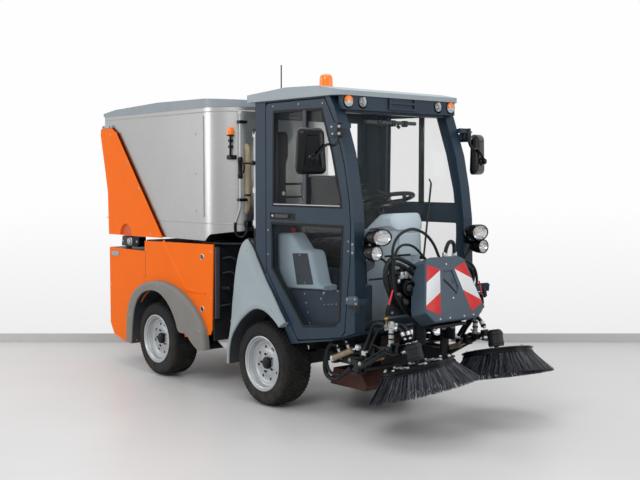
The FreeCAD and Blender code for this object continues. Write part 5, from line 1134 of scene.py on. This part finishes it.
@drawn("front_module", "black_plastic", "black_plastic", "gloss_black")
def seat_base(form):
    form.block((0, -0.19, 0.872), (0.36, 0.19, 0.935), 0.016, 0, None, 3)
    for k in range(4):
        form.block((0.03, -0.165, 0.846 + 0.008 * k), (0.33, 0.165, 0.852 + 0.008 * k), 0.003, 1)
    for side in (1, -1):
        form.hose([(0.06, 0.215 * side, 0.92), (0.02, 0.216 * side, 1.02), (-0.01, 0.216 * side, 1.1)], 6,
                  0.011, 10, 0)
    form.plug([(0.019, 0), (0.019, 0.014), (0.015, 0.018)], 20, 1, outward(0.02, -0.205, 0.985))


@drawn("front_module", "black_plastic", "black_plastic", "zinc", "seal")
def belt_tower(form):
    tower = [(-0.378, 1.715), (-0.286, 1.718), (-0.272, 1.69), (-0.272, 1.56), (-0.29, 1.51), (-0.29, 1.25),
             (-0.378, 1.25), (-0.384, 1.64)]
    wall = Matrix(((0, 0, 1, -0.118), (1, 0, 0, 0), (0, 1, 0, 0), (0, 0, 0, 1)))
    form.pan(tower, [(0, 0), (0, 0.028), (0.004, 0.036), (0.012, 0.04)], 0, wall)
    form.lathe([(0, 0), (0.014, 0), (0.012, 0.006), (0, 0.007)], 18, 1, wall @ move(-0.318, 1.325, 0.0395))
    form.pan(rounded((-0.347, 1.345), (-0.322, 1.69), 0.003), [(0, 0.0385), (0, 0.041), (0.0015, 0.0418)],
             2, wall)


@drawn("front_module", "grey_plastic", "console_plastic", "panel_grey", "zinc", "red_film", "gloss_black",
       both=True, stands_for=("side_consoles",), sharp=34)
def console_shells(form):
    shell = [(-0.06, 0.735), (-0.052, 1.03), (-0.03, 1.066), (0.01, 1.08), (0.112, 1.083), (0.134, 1.072),
             (0.21, 0.996), (0.224, 0.987), (0.292, 0.985), (0.312, 0.976), (0.326, 0.952), (0.37, 0.8),
             (0.383, 0.783), (0.43, 0.78), (0.43, 0.752), (0.095, 0.735)]
    form.pan(shell, [(0.01, 0.3), (0, 0.312), (0, 0.398), (0.002, 0.408), (0.007, 0.415), (0.014, 0.418)],
             0)
    form.pan([(0.138, 0.96), (0.286, 0.968), (0.34, 0.782), (0.182, 0.768)],
             [(0, 0.4165), (0, 0.419), (0.0015, 0.4202)], 1)
    form.screws(((0.212, 0.953), (0.262, 0.787)), 0.4202, 0.0055, 2)
    form.lathe([(0, 0), (0.01, 0), (0.01, 0.012), (0.015, 0.016), (0.0155, 0.026), (0.01, 0.031),
                (0, 0.032)], 20, 3, move(0.092, -0.375, 1.08))
    for x in (-0.01, 0.03, 0.06):
        form.block((x - 0.008, -0.385, 1.076), (x + 0.008, -0.35, 1.086), 0.003, 4)


@drawn("front_module", "cab_paint", "navy", "zinc", both=True)
def side_kick_panels(form):
    form.pan([(0.09, 0.735), (0.43, 0.752), (0.668, 0.782), (0.662, 0.575), (0.625, 0.545), (0.345, 0.515),
              (0.09, 0.7)], [(0, 0.4285), (0, 0.4325), (0.0015, 0.434)], 0)
    form.screws(((0.276, 0.722), (0.29, 0.668), (0.307, 0.612), (0.326, 0.546), (0.579, 0.764),
                 (0.43, 0.706)), KICK_PANEL_FACE, 0.0065, 1)
    form.screws([(0.456, 0.742)], KICK_PANEL_FACE, 0.0095, 1, 0.005)
    for k in range(4):
        form.screws([(0.459 + 0.036 * k, 0.672 + 0.005 * k)], KICK_PANEL_FACE, 0.0042, 1)
    form.screws([(0.52, 0.765)], KICK_PANEL_FACE, 0.005, 1)


@drawn("front_module", "grey_plastic", "dash_top_lit", "dash_leg", "navy", "gloss_black",
       stands_for=("dash_column",), sharp=30)
def dash_body(form):
    hood = [(0.472, 1.078), (0.47, 1.1), (0.484, 1.125), (0.584, 1.199), (0.6, 1.205), (0.7, 1.214),
            (0.716, 1.206), (0.739, 1.156), (0.739, 1.118), (0.72, 1.112)]
    leg = [(0.512, 0.484), (0.47, 0.96), (0.482, 1.082), (0.72, 1.114), (0.732, 0.963), (0.679, 0.52),
           (0.592, 0.494)]
    hood_rings = [(0, 0), (0, 0.098), (0.003, 0.106), (0.026, 0.128), (0.032, 0.13)]
    leg_rings = [(0, 0), (0, 0.104), (0.004, 0.112), (0.012, 0.116)]
    # The hood and the front plate take the lighter copy, painted light on the dash's top; the leg takes the
    # plain plastic.
    for mat, (outline, rings) in enumerate(((hood, hood_rings), (leg, leg_rings))):
        half = Form()
        half.pan(outline, rings, mat)
        half.mirrored()
        form.add(half.v, half.f, half.m)
    front = move(0.7345, 0, 1.02) @ axes((1, 0, -0.02), (0, 1, 0))
    form.pan(rounded((-0.08, -0.06), (0.08, 0.075), 0.012), [(0, -0.004), (0, 0.002), (0.002, 0.004)], 0,
             front)
    form.pan(rounded((-0.06, -0.34), (0.06, -0.12), 0.01), [(0, -0.03), (0, -0.012), (0.002, -0.01)], 2,
             front @ spin(math.radians(4), "X"))
    form.tube([(0.478, 0, 1.235), (0.497, 0, 1.182)], 0.024, 20, 3)
    for y in (-0.05, 0, 0.05):
        form.block((0.497, y - 0.018, 1.132), (0.513, y + 0.018, 1.16), 0.004, 3)
    form.tube([(0.505, -0.06, 1.215), (0.48, -0.11, 1.236), (0.47, -0.15, 1.24)], 0.006, 10, 3)


@drawn("front_module", "black_plastic", "panel_grey", "gloss_black", "black_plastic")
def cab_fittings(form):
    form.block((0.578, -0.226, 1.746), (0.6, 0.196, 1.768), 0.006, 0, None, 3)
    for y in (-0.12, 0, 0.1):
        form.block((0.574, y - 0.016, 1.734), (0.606, y + 0.016, 1.772), 0.006, 1)
    form.tube([(0.598, 0.03, 1.74), (0.612, 0.034, 1.726)], 0.01, 12, 1)
    form.block((0.636, -0.372, 1.47), (0.656, -0.332, 1.54), 0.012, 1, None, 3)
    form.plug([(0.024, 0), (0.027, 0.006), (0.024, 0.012)], 20, 1, at((0.655, -0.352, 1.505), (1, -0.3, 0)))
    form.tube([(0.64, -0.352, 1.54), (0.628, -0.366, 1.6)], 0.005, 8, 1)
    for z in (1.3, 1.385):
        form.tube([(-0.112, -0.4, z), (-0.112, 0.4, z)], 0.008, 10, 1)
    arm = [(-0.05, 1.255), (0.02, 1.33), (0.14, 1.352), (0.24, 1.318), (0.3, 1.255), (0.28, 1.235),
           (-0.03, 1.235)]
    form.pan(arm, [(0.004, 0.25), (0, 0.256), (0, 0.3), (0.004, 0.308)], 2,
             Matrix(((1, 0, 0, 0), (0, 0, 1, 0), (0, 1, 0, 0), (0, 0, 0, 1))))


# Between the cab and the hopper
def ribbed(form, points, radius, pitch, mat):
    """A corrugated hose along points."""
    pts = curve_through(points, 12)
    line, radii, done = [], [], 0
    for a, b in zip(pts, pts[1:]):
        steps = max(1, int((b - a).length / (pitch / 4)))
        for k in range(steps):
            q = a + (b - a) * (k / steps)
            line.append(q)
            radii.append(radius * (1 + 0.09 * math.sin(TURN * done / pitch)))
            done += (b - a).length / steps
    form.tube(line, radii, 14, mat)


@drawn("hopper_body", "black_plastic", "silver", "gloss_black", "zinc", stands_for=("water_lance",))
def lance(form):
    pipe = (-0.404, -0.42)
    form.hose([(-0.461, -0.42, 1.128), (-0.449, -0.42, 1.15), (-0.413, -0.42, 1.215), (-0.405, -0.42, 1.26),
               (*pipe, 1.42)], 5, 0.0085, 12, 0)
    form.tube([(*pipe, 1.56), (*pipe, 1.858)], 0.0085, 12, 0)
    form.plug([(0.013, 0), (0.017, 0.006), (0.017, 0.03), (0.0145, 0.036), (0.0145, 0.1), (0.018, 0.11),
               (0.018, 0.132), (0.012, 0.142)], 20, 1, move(*pipe, 1.419))
    form.hose([(-0.392, -0.42, 1.53), (-0.368, -0.42, 1.52), (-0.36, -0.42, 1.49), (-0.37, -0.42, 1.455)],
              5, 0.0055, 8, 1)
    form.plug([(0.0135, 0), (0.0135, 0.018), (0.01, 0.024)], 6, 2, move(*pipe, 1.838))
    for z in (1.28, 1.79):
        form.block((-0.424, -0.436, z - 0.01), (-0.386, -0.372, z + 0.01), 0.004, 1)
    form.hose([(-0.461, -0.42, 1.13), (-0.466, -0.42, 1.085), (-0.458, -0.412, 1.048),
               (-0.434, -0.386, 1.032), (-0.418, -0.362, 1.062), (-0.42, -0.35, 1.11)], 8, 0.0095, 12, 1)
    form.block((-0.432, -0.372, 1.1), (-0.392, -0.335, 1.14), 0.006, 1)


@drawn("hopper_body", "amber_lens", "gloss_black", "amber")
def side_marker_lamp(form):
    foot = move(-0.47, -0.452, 1.698)
    form.tube([(-0.474, -0.45, 1.56), (-0.47, -0.452, 1.7)], 0.007, 10, 0)
    form.block((-0.52, -0.45, 1.545), (-0.462, -0.405, 1.575), 0.005, 0)
    form.lathe([(0, 0), (0.024, 0), (0.024, 0.008), (0.021, 0.01)], 20, 0, foot)
    form.lathe([(0.021, 0.009), (0.0215, 0.035), (0.019, 0.052), (0.011, 0.06), (0, 0.061)], 20, 1,
               foot)
    for z in (1.62, 1.66):
        form.block((-0.486, -0.462, z), (-0.458, -0.438, z + 0.018), 0.004, 0)


@drawn("front_module", "black_plastic", "silver", "label", "hose", stands_for=("washer_tube",))
def washer_tube_set(form):
    tube = (-0.232, -0.424)
    form.tube([(*tube, 1.1), (*tube, 1.74)], 0.0115, 14, 0)
    for z in (1.704, 1.346, 1.135):
        form.pan(rounded((-0.248, z - 0.02), (-0.216, z + 0.016), 0.005),
                 [(0, 0.4), (0, 0.4345), (0.002, 0.4362)], 1)
        form.block((*tube, z - 0.008), (-0.131, -0.404, z + 0.008), 0.003, 2)
    form.lathe([(0, 0), (0.014, 0.002), (0.016, 0.016), (0.01, 0.026), (0, 0.027)], 20, 2,
               outward(-0.228, -0.434, 1.519))
    form.plug([(0.016, 0), (0.016, 0.03), (0.012, 0.034)], 8, 2, move(*tube, 1.706))
    form.hose([(*tube, 1.102), (-0.234, -0.424, 1.05), (-0.214, -0.42, 1.01),
               (-0.176, -0.405, 1.008), (-0.15, -0.385, 1.045), (-0.134, -0.37, 1.09)], 8, 0.01, 12, 2)


@drawn("front_module", "grey_plastic", "pale_plastic", "hose", "zinc", stands_for=("hose_reel",))
def hose_drum(form):
    reel = at((-0.205, -0.3, 1.74), (1, 0, 0), (0, -1, 0))
    form.lathe([(0.11, 0), (0.118, 0.003), (0.118, 0.009), (0.11, 0.012), (0.06, 0.013), (0.058, 0.055),
                (0.11, 0.056), (0.118, 0.059), (0.118, 0.07), (0.11, 0.0745), (0, 0.0745)], 48, 0, reel)
    form.lathe([(0, 0), (0.11, 0)], 48, 0, reel)
    for k in range(4):
        turns = [polar(0.078 + 0.0075 * (k % 2), TURN * i / 40, 0.019 + 0.01 * k) for i in range(40)]
        form.tube([reel @ Vector(q) for q in turns], 0.0065, 8, 1, closed=True)
    for spot in around(5, 0.042):
        form.hex_bolt(reel @ spot @ spin(math.pi, "X"), 0.007, 2)


@drawn("hopper_body", "black_plastic", "beige", "gloss_black")
def hopper_hose(form):
    upright = (-0.42, -0.347)
    ribbed(form, [(-0.452, -0.338, 1.64), (-0.428, -0.344, 1.605), (*upright, 1.54),
                  (*upright, 1.4), (*upright, 1.28), (-0.43, -0.344, 1.225),
                  (-0.455, -0.336, 1.195)], 0.018, 0.012, 0)
    for z in (1.31, 1.52):
        form.lathe([(0.0205, -0.006), (0.0225, -0.005), (0.0225, 0.005), (0.0205, 0.006)], 24, 1,
                   move(*upright, z), closed=True)


@drawn("front_module", "black_plastic", "hose", "label", "seal", "hose")
def rear_wall_hoses(form):
    form.block((-0.18, -0.462, 0.99), (-0.134, -0.405, 1.1), 0.006, 1, None, 3)
    form.hose([(-0.208, -0.498, 1.04), (-0.15, -0.499, 0.985), (-0.085, -0.499, 0.9),
               (-0.03, -0.499, 0.825)], 6, 0.007, 8, 2)
    form.block((-0.15, -0.47, 0.88), (-0.131, -0.34, 1.06), 0.004, 2)
    for y, z in ((-0.2, 0.95), (-0.26, 1.02), (-0.1, 0.92), (0.1, 0.95), (0.22, 1)):
        form.hose([(-0.134, y, z), (-0.2, y - 0.01, z - 0.02), (-0.235, y, z - 0.1),
                   (-0.23, y + 0.02, z - 0.24), (-0.215, y + 0.03, 0.64)], 6, 0.01, 10, 3)


# Hoses and fittings of the sweeping gear
PLATE_BACK, PLATE_FACE = 0.895, 0.912


def fitting(form, place, radius, mats=(0, 1)):
    """A hose end: ferrule, hexagon and collar."""
    form.lathe([(radius * 0.9, 0), (radius * 1.25, 0.001), (radius * 1.25, 0.022), (radius * 0.95, 0.024)],
               16, mats[0], place)
    form.plug([(radius * 1.5, 0.024), (radius * 1.5, 0.036)], 6, mats[1], place)
    form.lathe([(radius * 0.8, 0.036), (radius * 0.8, 0.046), (0, 0.046)], 14, mats[0], place)


def ram(form, start, end, radius, rod_share, mats=(0, 1, 2)):
    """A hydraulic cylinder with its gland, rod and eyes, from start to end."""
    start, end = Vector(start), Vector(end)
    way = end - start
    whole = way.length
    way.normalize()
    place = Matrix.Translation(start) @ axes(way)
    barrel = whole * (1 - rod_share)
    form.plug([(radius * 0.9, 0.012), (radius, 0.016), (radius, 0.026), (radius * 0.94, 0.028),
               (radius * 0.94, barrel - 0.02), (radius * 1.06, barrel - 0.018),
               (radius * 1.06, barrel - 0.004), (radius * 0.8, barrel)], 28, mats[0], place)
    form.lathe([(radius * 0.42, barrel), (radius * 0.42, whole - 0.014), (0, whole - 0.014)], 18, mats[1],
               place)
    for q in (start, end):
        form.lathe([(0.006, -0.011), (radius * 0.85, -0.011), (radius * 0.95, -0.008),
                    (radius * 0.95, 0.008), (radius * 0.85, 0.011), (0.006, 0.011)], 20, mats[2],
                   at(q, (0, -1, 0)), closed=True)
        form.hex_bolt(at(q + Vector((0, -0.011, 0)), (0, -1, 0)), 0.0075, mats[1])
    return place


def arm_canister(form):
    """The upright silver canister on the arm, with its fittings and hoses."""
    form.block((0.905, -0.41, 0.462), (0.985, -0.335, 0.48), 0.004, 0)
    form.lathe([(0.021, 0), (0.021, 0.01), (0.0155, 0.014), (0.0155, 0.104), (0.022, 0.108), (0.022, 0.132),
                (0.013, 0.142), (0, 0.143)], 24, 1, move(0.948, -0.358, 0.478))
    for z in (0.515, 0.545):
        form.lathe([(0.0158, 0), (0.0185, 0.002), (0.0185, 0.008), (0.0158, 0.01)], 20, 0,
                   move(0.948, -0.358, z))
    for way, z in (((-0.35, -1, -0.1), 0.6), ((0.3, 1, -0.1), 0.6), ((-0.8, -0.5, 0), 0.58),
                   ((0.9, 0.5, 0), 0.58)):
        fitting(form, at((0.948, -0.358, z), way), 0.0095, (1, 1))
    form.hose([(0.935, -0.395, 0.602), (0.9, -0.418, 0.61), (0.868, -0.424, 0.59), (0.84, -0.418, 0.54),
               (0.812, -0.408, 0.5), (0.775, -0.4, 0.44)], 6, 0.0115, 12, 2)
    form.hose([(0.918, -0.38, 0.582), (0.892, -0.398, 0.572), (0.868, -0.404, 0.532),
               (0.842, -0.398, 0.496), (0.806, -0.392, 0.432)], 6, 0.0095, 12, 2)
    form.hose([(0.962, -0.318, 0.602), (0.985, -0.31, 0.6), (1.012, -0.308, 0.586), (1.036, -0.31, 0.566)],
              6, 0.0115, 12, 2)
    form.hose([(0.982, -0.338, 0.582), (1, -0.334, 0.574), (1.016, -0.338, 0.56)], 6, 0.0095, 12, 2)
    fitting(form, at((1.034, -0.31, 0.568), (0.45, -0.1, -0.75)), 0.0115, (1, 3))
    fitting(form, at((1.015, -0.338, 0.562), (0.5, 0, -0.7)), 0.0095, (1, 3))
    form.hose([(0.86, -0.42, 0.486), (0.9, -0.412, 0.474), (0.985, -0.398, 0.44), (1.04, -0.396, 0.452),
               (1.075, -0.384, 0.48)], 6, 0.0045, 8, 2)


def brush_motor(form):
    """The rings, the cap and the two fittings on the motor over the brush."""
    tilt = brush_place(-1)
    form.lathe([(0.0465, 0.03), (0.0485, 0.032), (0.0485, 0.04), (0.0465, 0.042)], 40, 0, tilt)
    form.lathe([(0.0465, 0.084), (0.0485, 0.086), (0.0485, 0.093), (0.0465, 0.095)], 40, 0, tilt)
    form.lathe([(0, 0.103), (0.04, 0.103), (0.04, 0.11), (0.033, 0.116), (0, 0.117)], 32, 3, tilt)
    for spot in around(6, 0.03, 0.1135):
        form.hex_bolt(tilt @ spot, 0.0055, 1)
    for a in (2.5, 3.7):
        fitting(form, tilt @ spin(a) @ move(0.044, 0, 0.075) @ spin(math.pi / 2, "Y"), 0.0095, (1, 3))


def water_valve(form):
    """A small black valve between its brass stem and the pink tube."""
    stem = at((0.962, -0.412, 0.632), (0.02, 0.22, 1))
    form.tube([(0.955, -0.395, 0.602), (0.962, -0.412, 0.64)], 0.0055, 10, 7)
    form.lathe([(0, 0), (0.0085, 0.002), (0.0085, 0.012), (0.006, 0.016), (0.006, 0.026), (0.0105, 0.03),
                (0.0105, 0.082), (0.0085, 0.088), (0, 0.089)], 16, 3, stem)
    form.lathe([(0.0088, 0.004), (0.0105, 0.006), (0.0105, 0.016), (0.0088, 0.018)], 6, 7, stem)
    form.tube([(0.964, -0.393, 0.716), (0.968, -0.366, 0.8)], 0.0052, 10, 8)


@drawn_twice("arm_body", "frame_paint", "frame_paint", "silver", "hose", "gloss_black", "tan", "chrome",
             "engine_iron", "gold", "pink")
def arm_gear(form):
    arm_canister(form)
    brush_motor(form)
    ram(form, (0.76, -0.33, 0.372), (0.905, -0.338, 0.42), 0.0165, 0.34, (4, 5, 6))
    form.block((0.892, -0.372, 0.408), (0.918, -0.326, 0.452), 0.004, 6)
    form.hex_bolt(outward(0.74, -0.405, 0.356), 0.009, 1)
    water_valve(form)
    for x, z in ((0.8, 0.402), (0.86, 0.436), (1, 0.48), (1.05, 0.478)):
        form.block((x - 0.007, -0.412, z - 0.024), (x + 0.007, -0.352, z + 0.026), 0.003, 3)
    for x, z in ((0.77, 0.356), (0.83, 0.392), (0.89, 0.424)):
        form.hose([(x, -0.409, z + 0.01), (x + 0.03, -0.413, z + 0.032), (x + 0.062, -0.409, z + 0.046)], 5,
                  0.0065, 10, 2)


@drawn("lift_body", "frame_paint", "frame_paint", "tan", "chrome", "silver", "zinc", "hose", "cap_white",
       both=True)
def lift_gear(form):
    form.block((0.7, -0.372, 0.374), (0.724, -0.34, 0.47), 0.005, 0)
    form.block((0.47, -0.392, 0.322), (0.505, -0.352, 0.376), 0.005, 0)
    ram(form, (0.492, -0.392, 0.352), (0.712, -0.392, 0.446), 0.0195, 0.22, (1, 2, 3))
    for x, z in ((0.56, 0.398), (0.64, 0.432)):
        fitting(form, at((x, -0.4, z), (-0.35, -0.2, 1)), 0.0085, (4, 5))
    form.hose([(0.545, -0.408, 0.44), (0.5, -0.412, 0.44), (0.452, -0.404, 0.395), (0.42, -0.396, 0.3),
               (0.44, -0.39, 0.238), (0.51, -0.386, 0.228), (0.585, -0.384, 0.275), (0.64, -0.382, 0.316)],
              7, 0.0135, 12, 5)
    form.hose([(0.625, -0.408, 0.474), (0.59, -0.414, 0.492), (0.53, -0.414, 0.476), (0.47, -0.408, 0.42),
               (0.446, -0.402, 0.32), (0.48, -0.396, 0.262), (0.56, -0.392, 0.262)], 7, 0.0095, 12, 5)
    form.pan([(0.583, 0.29), (0.702, 0.387), (0.75, 0.352), (0.672, 0.286)],
             [(0.002, 0.298), (0, 0.3), (0, 0.312), (0.002, 0.314)], 0)
    form.screws(((0.625, 0.305), (0.69, 0.318), (0.7, 0.356)), 0.356, 0.008, 4, 0.005)
    for x in (0.44, 0.52, 0.6):
        form.hex_bolt(outward(x, -0.3555, 0.352), 0.009, 4)
    form.block((0.742, -0.398, 0.404), (0.792, -0.366, 0.432), 0.006, 6)
    for k in range(3):
        form.hose([(0.44 + 0.02 * k, -0.368, 0.388), (0.54, -0.372, 0.4 + 0.012 * k),
                   (0.66, -0.366, 0.398 + 0.01 * k), (0.72, -0.36, 0.42 + 0.012 * k)], 5, 0.006, 8, 5)


def feed_hoses(form):
    """The hoses that loop over the front carrier on the right, with their ends."""
    form.hose([(0.958, -0.165, 0.62), (0.962, -0.262, 0.668), (0.964, -0.322, 0.735),
               (0.962, -0.352, 0.801), (0.96, -0.364, 0.88), (0.96, -0.362, 0.96), (0.96, -0.355, 1.044),
               (0.96, -0.306, 1.106), (0.96, -0.207, 1.135), (0.96, -0.105, 1.105), (0.96, -0.032, 1.044),
               (0.964, 0.016, 0.96)], 7, 0.0085, 12, 0)
    form.hose([(0.95, -0.15, 0.64), (0.945, -0.25, 0.7), (0.942, -0.318, 0.79), (0.94, -0.332, 0.89),
               (0.94, -0.325, 0.972), (0.94, -0.3, 1.025), (0.94, -0.246, 1.046), (0.94, -0.166, 1.028),
               (0.945, -0.073, 0.95)], 7, 0.0075, 12, 0)
    form.hose([(0.945, -0.13, 0.872), (0.95, -0.176, 0.914), (0.95, -0.256, 0.955), (0.95, -0.335, 0.977),
               (0.95, -0.388, 0.95), (0.948, -0.408, 0.895), (0.946, -0.398, 0.83), (0.944, -0.352, 0.765),
               (0.944, -0.28, 0.73), (0.942, -0.235, 0.72)], 7, 0.0125, 12, 0)
    form.hose([(0.945, -0.125, 0.828), (0.942, -0.19, 0.88), (0.938, -0.26, 0.925), (0.936, -0.335, 0.942),
               (0.936, -0.38, 0.915), (0.936, -0.388, 0.86), (0.936, -0.36, 0.8), (0.936, -0.3, 0.765)],
              7, 0.0115, 12, 0)
    form.hose([(0.93, -0.11, 0.79), (0.93, -0.18, 0.84), (0.928, -0.27, 0.88), (0.926, -0.345, 0.88),
               (0.926, -0.372, 0.82), (0.926, -0.33, 0.74), (0.93, -0.235, 0.69)], 7, 0.01, 12, 0)
    form.hose([(0.93, -0.345, 0.905), (0.9, -0.37, 0.96), (0.865, -0.392, 0.975), (0.84, -0.405, 0.96)],
              7, 0.007, 12, 0)
    for place, way, radius in (((0.947, -0.15, 0.893), (0.05, 0.7, -0.72), 0.0125),
                               ((0.945, -0.14, 0.842), (0.05, 0.7, -0.72), 0.0115),
                               ((0.943, -0.262, 0.728), (0, 0.9, -0.3), 0.0125),
                               ((0.936, -0.316, 0.772), (0, 0.9, -0.3), 0.0115)):
        fitting(form, at(place, way), radius, (1, 1))


def valve_plate(form):
    """The upright plate with its round cover, connectors and bolts."""
    form.block((PLATE_BACK, -0.33, 0.64), (PLATE_FACE, -0.095, 0.905), 0.004, 2)
    form.block((0.905, -0.285, 0.7), (0.945, -0.12, 0.77), 0.008, 3)
    cover = at((0.94, -0.226, 0.8), (1, -0.2, 0))
    form.lathe([(0.026, 0), (0.044, 0.002), (0.046, 0.006), (0.046, 0.026), (0.042, 0.032), (0.034, 0.034),
                (0.028, 0.028), (0.026, 0.012)], 32, 3, cover, closed=True)
    form.lathe([(0, 0), (0.02, 0), (0.022, 0.01), (0.022, 0.03), (0.014, 0.036), (0, 0.037)], 24, 4, cover)
    for y, z in ((-0.285, 0.838), (-0.25, 0.862), (-0.212, 0.872), (-0.176, 0.85), (-0.16, 0.812)):
        form.plug([(0.011, 0), (0.011, 0.014), (0.014, 0.016), (0.014, 0.026), (0.006, 0.03)], 6, 1,
                  at((PLATE_FACE, y, z), (1, 0, 0.1)))
    for y in (-0.262, -0.228, -0.192):
        form.block((PLATE_FACE, y - 0.013, 0.852), (0.94, y + 0.013, 0.892), 0.003, 5)
        form.plug([(0.009, 0), (0.009, 0.022), (0.006, 0.026)], 16, 3, move(0.926, y, 0.89))
    for y, z in ((-0.315, 0.885), (-0.315, 0.66), (-0.11, 0.66), (-0.315, 0.775)):
        form.hex_bolt(at((PLATE_FACE, y, z), (1, 0, 0)), 0.0075, 1)


@drawn("front_module", "frame_paint", "hose", "zinc", "frame_paint", "gloss_black", "engine_iron", "silver",
       "navy")
def front_plumbing(form):
    feed_hoses(form)
    valve_plate(form)
    form.tube([(0.868, -0.128, 0.98), (0.868, -0.33, 0.98)], 0.006, 8, 3)
    form.block((0.925, -0.118, 0.56), (1.01, 0.118, 0.612), 0.008, 3)
    for y in (-0.075, 0, 0.075):
        form.hose([(1.012, y - 0.022, 0.606), (1.018, y - 0.02, 0.565), (1.018, y, 0.548),
                   (1.018, y + 0.02, 0.565), (1.012, y + 0.022, 0.606)], 6, 0.0042, 10, 1)
        form.hex_bolt(at((0.965, y, 0.56), (0, 0, -1)), 0.008, 1)
    for sign in (1, -1):
        form.block((0.905, sign * 0.125 - 0.009, 0.47), (0.99, sign * 0.125 + 0.009, 0.605), 0.004, 2)
    form.block((0.7, -0.398, 0.6), (0.77, -0.33, 0.81), 0.01, 6, None, 3)
    form.block((0.696, -0.3, 0.825), (0.706, 0.3, 0.837), 0.003, 6)


@drawn("front_module", "frame_paint", "hose", "frame_paint", "gloss_black", "zinc")
def front_plumbing_left(form):
    form.hose([(0.958, 0.165, 0.62), (0.962, 0.262, 0.668), (0.964, 0.322, 0.735), (0.962, 0.352, 0.801),
               (0.96, 0.33, 0.88), (0.955, 0.262, 0.93), (0.95, 0.17, 0.925)], 7, 0.0085, 12, 0)
    form.hose([(0.945, 0.13, 0.872), (0.95, 0.2, 0.9), (0.95, 0.29, 0.89), (0.948, 0.335, 0.83),
               (0.944, 0.3, 0.745), (0.942, 0.2, 0.7)], 7, 0.0115, 12, 0)
    form.block((PLATE_BACK, 0.095, 0.64), (PLATE_FACE, 0.33, 0.905), 0.004, 1)
    form.block((0.905, 0.12, 0.7), (0.945, 0.285, 0.77), 0.008, 2)
    for y, z in ((0.315, 0.885), (0.315, 0.66), (0.11, 0.66), (0.315, 0.775)):
        form.hex_bolt(at((PLATE_FACE, y, z), (1, 0, 0)), 0.0075, 3)


# Floor, light and camera
VIEW_ANGLE, VIEW_PITCH, LENS_MM, SENSOR_MM = 49.66, 3.626, 55.55, 36
EYE = Vector((4.8854 + AXLE, -4.2264, 1.427))
FLOOR_REACH, FLOOR_DEPTH, FLOOR_HALF = 8.51, 15, 14
FLOOR_DROP, SKIRTING_HALF, SKIRTING_HEIGHT = 0.0005, 0.006, 0.075


def staged(name, verts, faces, material):
    mesh = bpy.data.meshes.new(name)
    mesh.from_pydata(verts, [], faces)
    mesh.materials.append(material)
    obj = bpy.data.objects.new(name, mesh)
    bpy.context.scene.collection.objects.link(obj)


def floor_and_skirting(view):
    edge = Vector((EYE.x, EYE.y, 0)) + view * FLOOR_REACH
    right = Vector((view.y, -view.x, 0))
    corners = [q + right * side for q, side in ((edge - view * FLOOR_DEPTH, -FLOOR_HALF),
                                                (edge - view * FLOOR_DEPTH, FLOOR_HALF),
                                                (edge, FLOOR_HALF), (edge, -FLOOR_HALF))]
    staged("floor", [(*c.xy, -FLOOR_DROP) for c in corners], [(0, 1, 2, 3)],
           surface("pale_floor", (212, 212, 212), 0.42, vary=0.025, patch=1.2, grain=90, bump=0.05,
                   rough_vary=0.05, spec=0.35))
    strip = Form()
    strip.block((-FLOOR_HALF, -SKIRTING_HALF, 0), (FLOOR_HALF, SKIRTING_HALF, SKIRTING_HEIGHT), 0.002, 0,
                move(edge.x, edge.y, 0) @ axes((0, 0, 1), right))
    grey = surface("skirting_grey", (202, 202, 202), 0.5, vary=0.02, bump=0.05)
    staged("skirting", strip.v, strip.f, grey)


def world():
    """A soft sky for the object, and a pale wall for the camera and for what glass and metal show."""
    sky = bpy.data.worlds.new("studio")
    bpy.context.scene.world = sky
    sky.use_nodes = True
    add = adder(sky.node_tree)
    height = add("SeparateXYZ", {"Vector": add("TexCoord", {})["Generated"]})["Z"]
    light = add("MapRange", {"Value": height, "From Min": -0.1, "From Max": 0.9, "To Min": 0.28,
                             "To Max": 0.7})
    wall = add("MapRange", {"Value": height, "From Min": -0.16, "From Max": -0.03, "To Min": 0.84,
                            "To Max": 0.99})
    ray = add("LightPath", {})
    seen = add("Math", {0: ray["Is Camera Ray"], 1: ray["Is Transmission Ray"]}, operation="MAXIMUM")
    shown = add("Math", {0: seen["Value"], 1: ray["Is Glossy Ray"]}, operation="MAXIMUM")["Value"]
    strength = add("Mix", {"Factor": shown, "A": light["Result"], "B": wall["Result"]}, data_type="FLOAT")
    feed(sky.node_tree, sky.node_tree.nodes["Background"],
         {"Strength": strength["Result"], "Color": (1, 1, 1, 1)})


def lamp(name, place, target, width, height, power):
    data = bpy.data.lights.new(name, "AREA")
    data.shape = "RECTANGLE"
    data.size, data.size_y = width, height
    data.energy = power
    obj = bpy.data.objects.new(name, data)
    bpy.context.scene.collection.objects.link(obj)
    obj.location = Vector(place) + Vector((AXLE, 0, 0))
    obj.rotation_euler = (Vector(target) - Vector(place)).to_track_quat("-Z", "Y").to_euler()


def camera(view):
    data = bpy.data.cameras.new("camera")
    data.lens, data.sensor_width = LENS_MM, SENSOR_MM
    obj = bpy.data.objects.new("camera", data)
    bpy.context.scene.collection.objects.link(obj)
    obj.location = EYE
    pitch = math.radians(VIEW_PITCH)
    look = Vector((view.x * math.cos(pitch), view.y * math.cos(pitch), -math.sin(pitch)))
    obj.rotation_euler = look.to_track_quat("-Z", "Y").to_euler()
    bpy.context.scene.camera = obj
    bpy.context.scene.view_settings.view_transform = "Standard"


ahead = Vector((-math.sin(math.radians(VIEW_ANGLE)), math.cos(math.radians(VIEW_ANGLE)), 0))
floor_and_skirting(ahead)
world()
lamp("key_light", (2.6, -4.6, 4.4), (-0.4, 0, 0.9), 3.2, 2.2, 118)
lamp("top_light", (-0.4, 0.2, 5.2), (-0.4, 0, 0), 5, 3, 84)
lamp("side_light", (-3.6, -4.2, 2.4), (-1, 0, 1), 1.2, 3.4, 44)
lamp("front_light", (5.2, 2.6, 2.6), (0.8, 0, 0.9), 2.2, 2.6, 44)
camera(ahead)
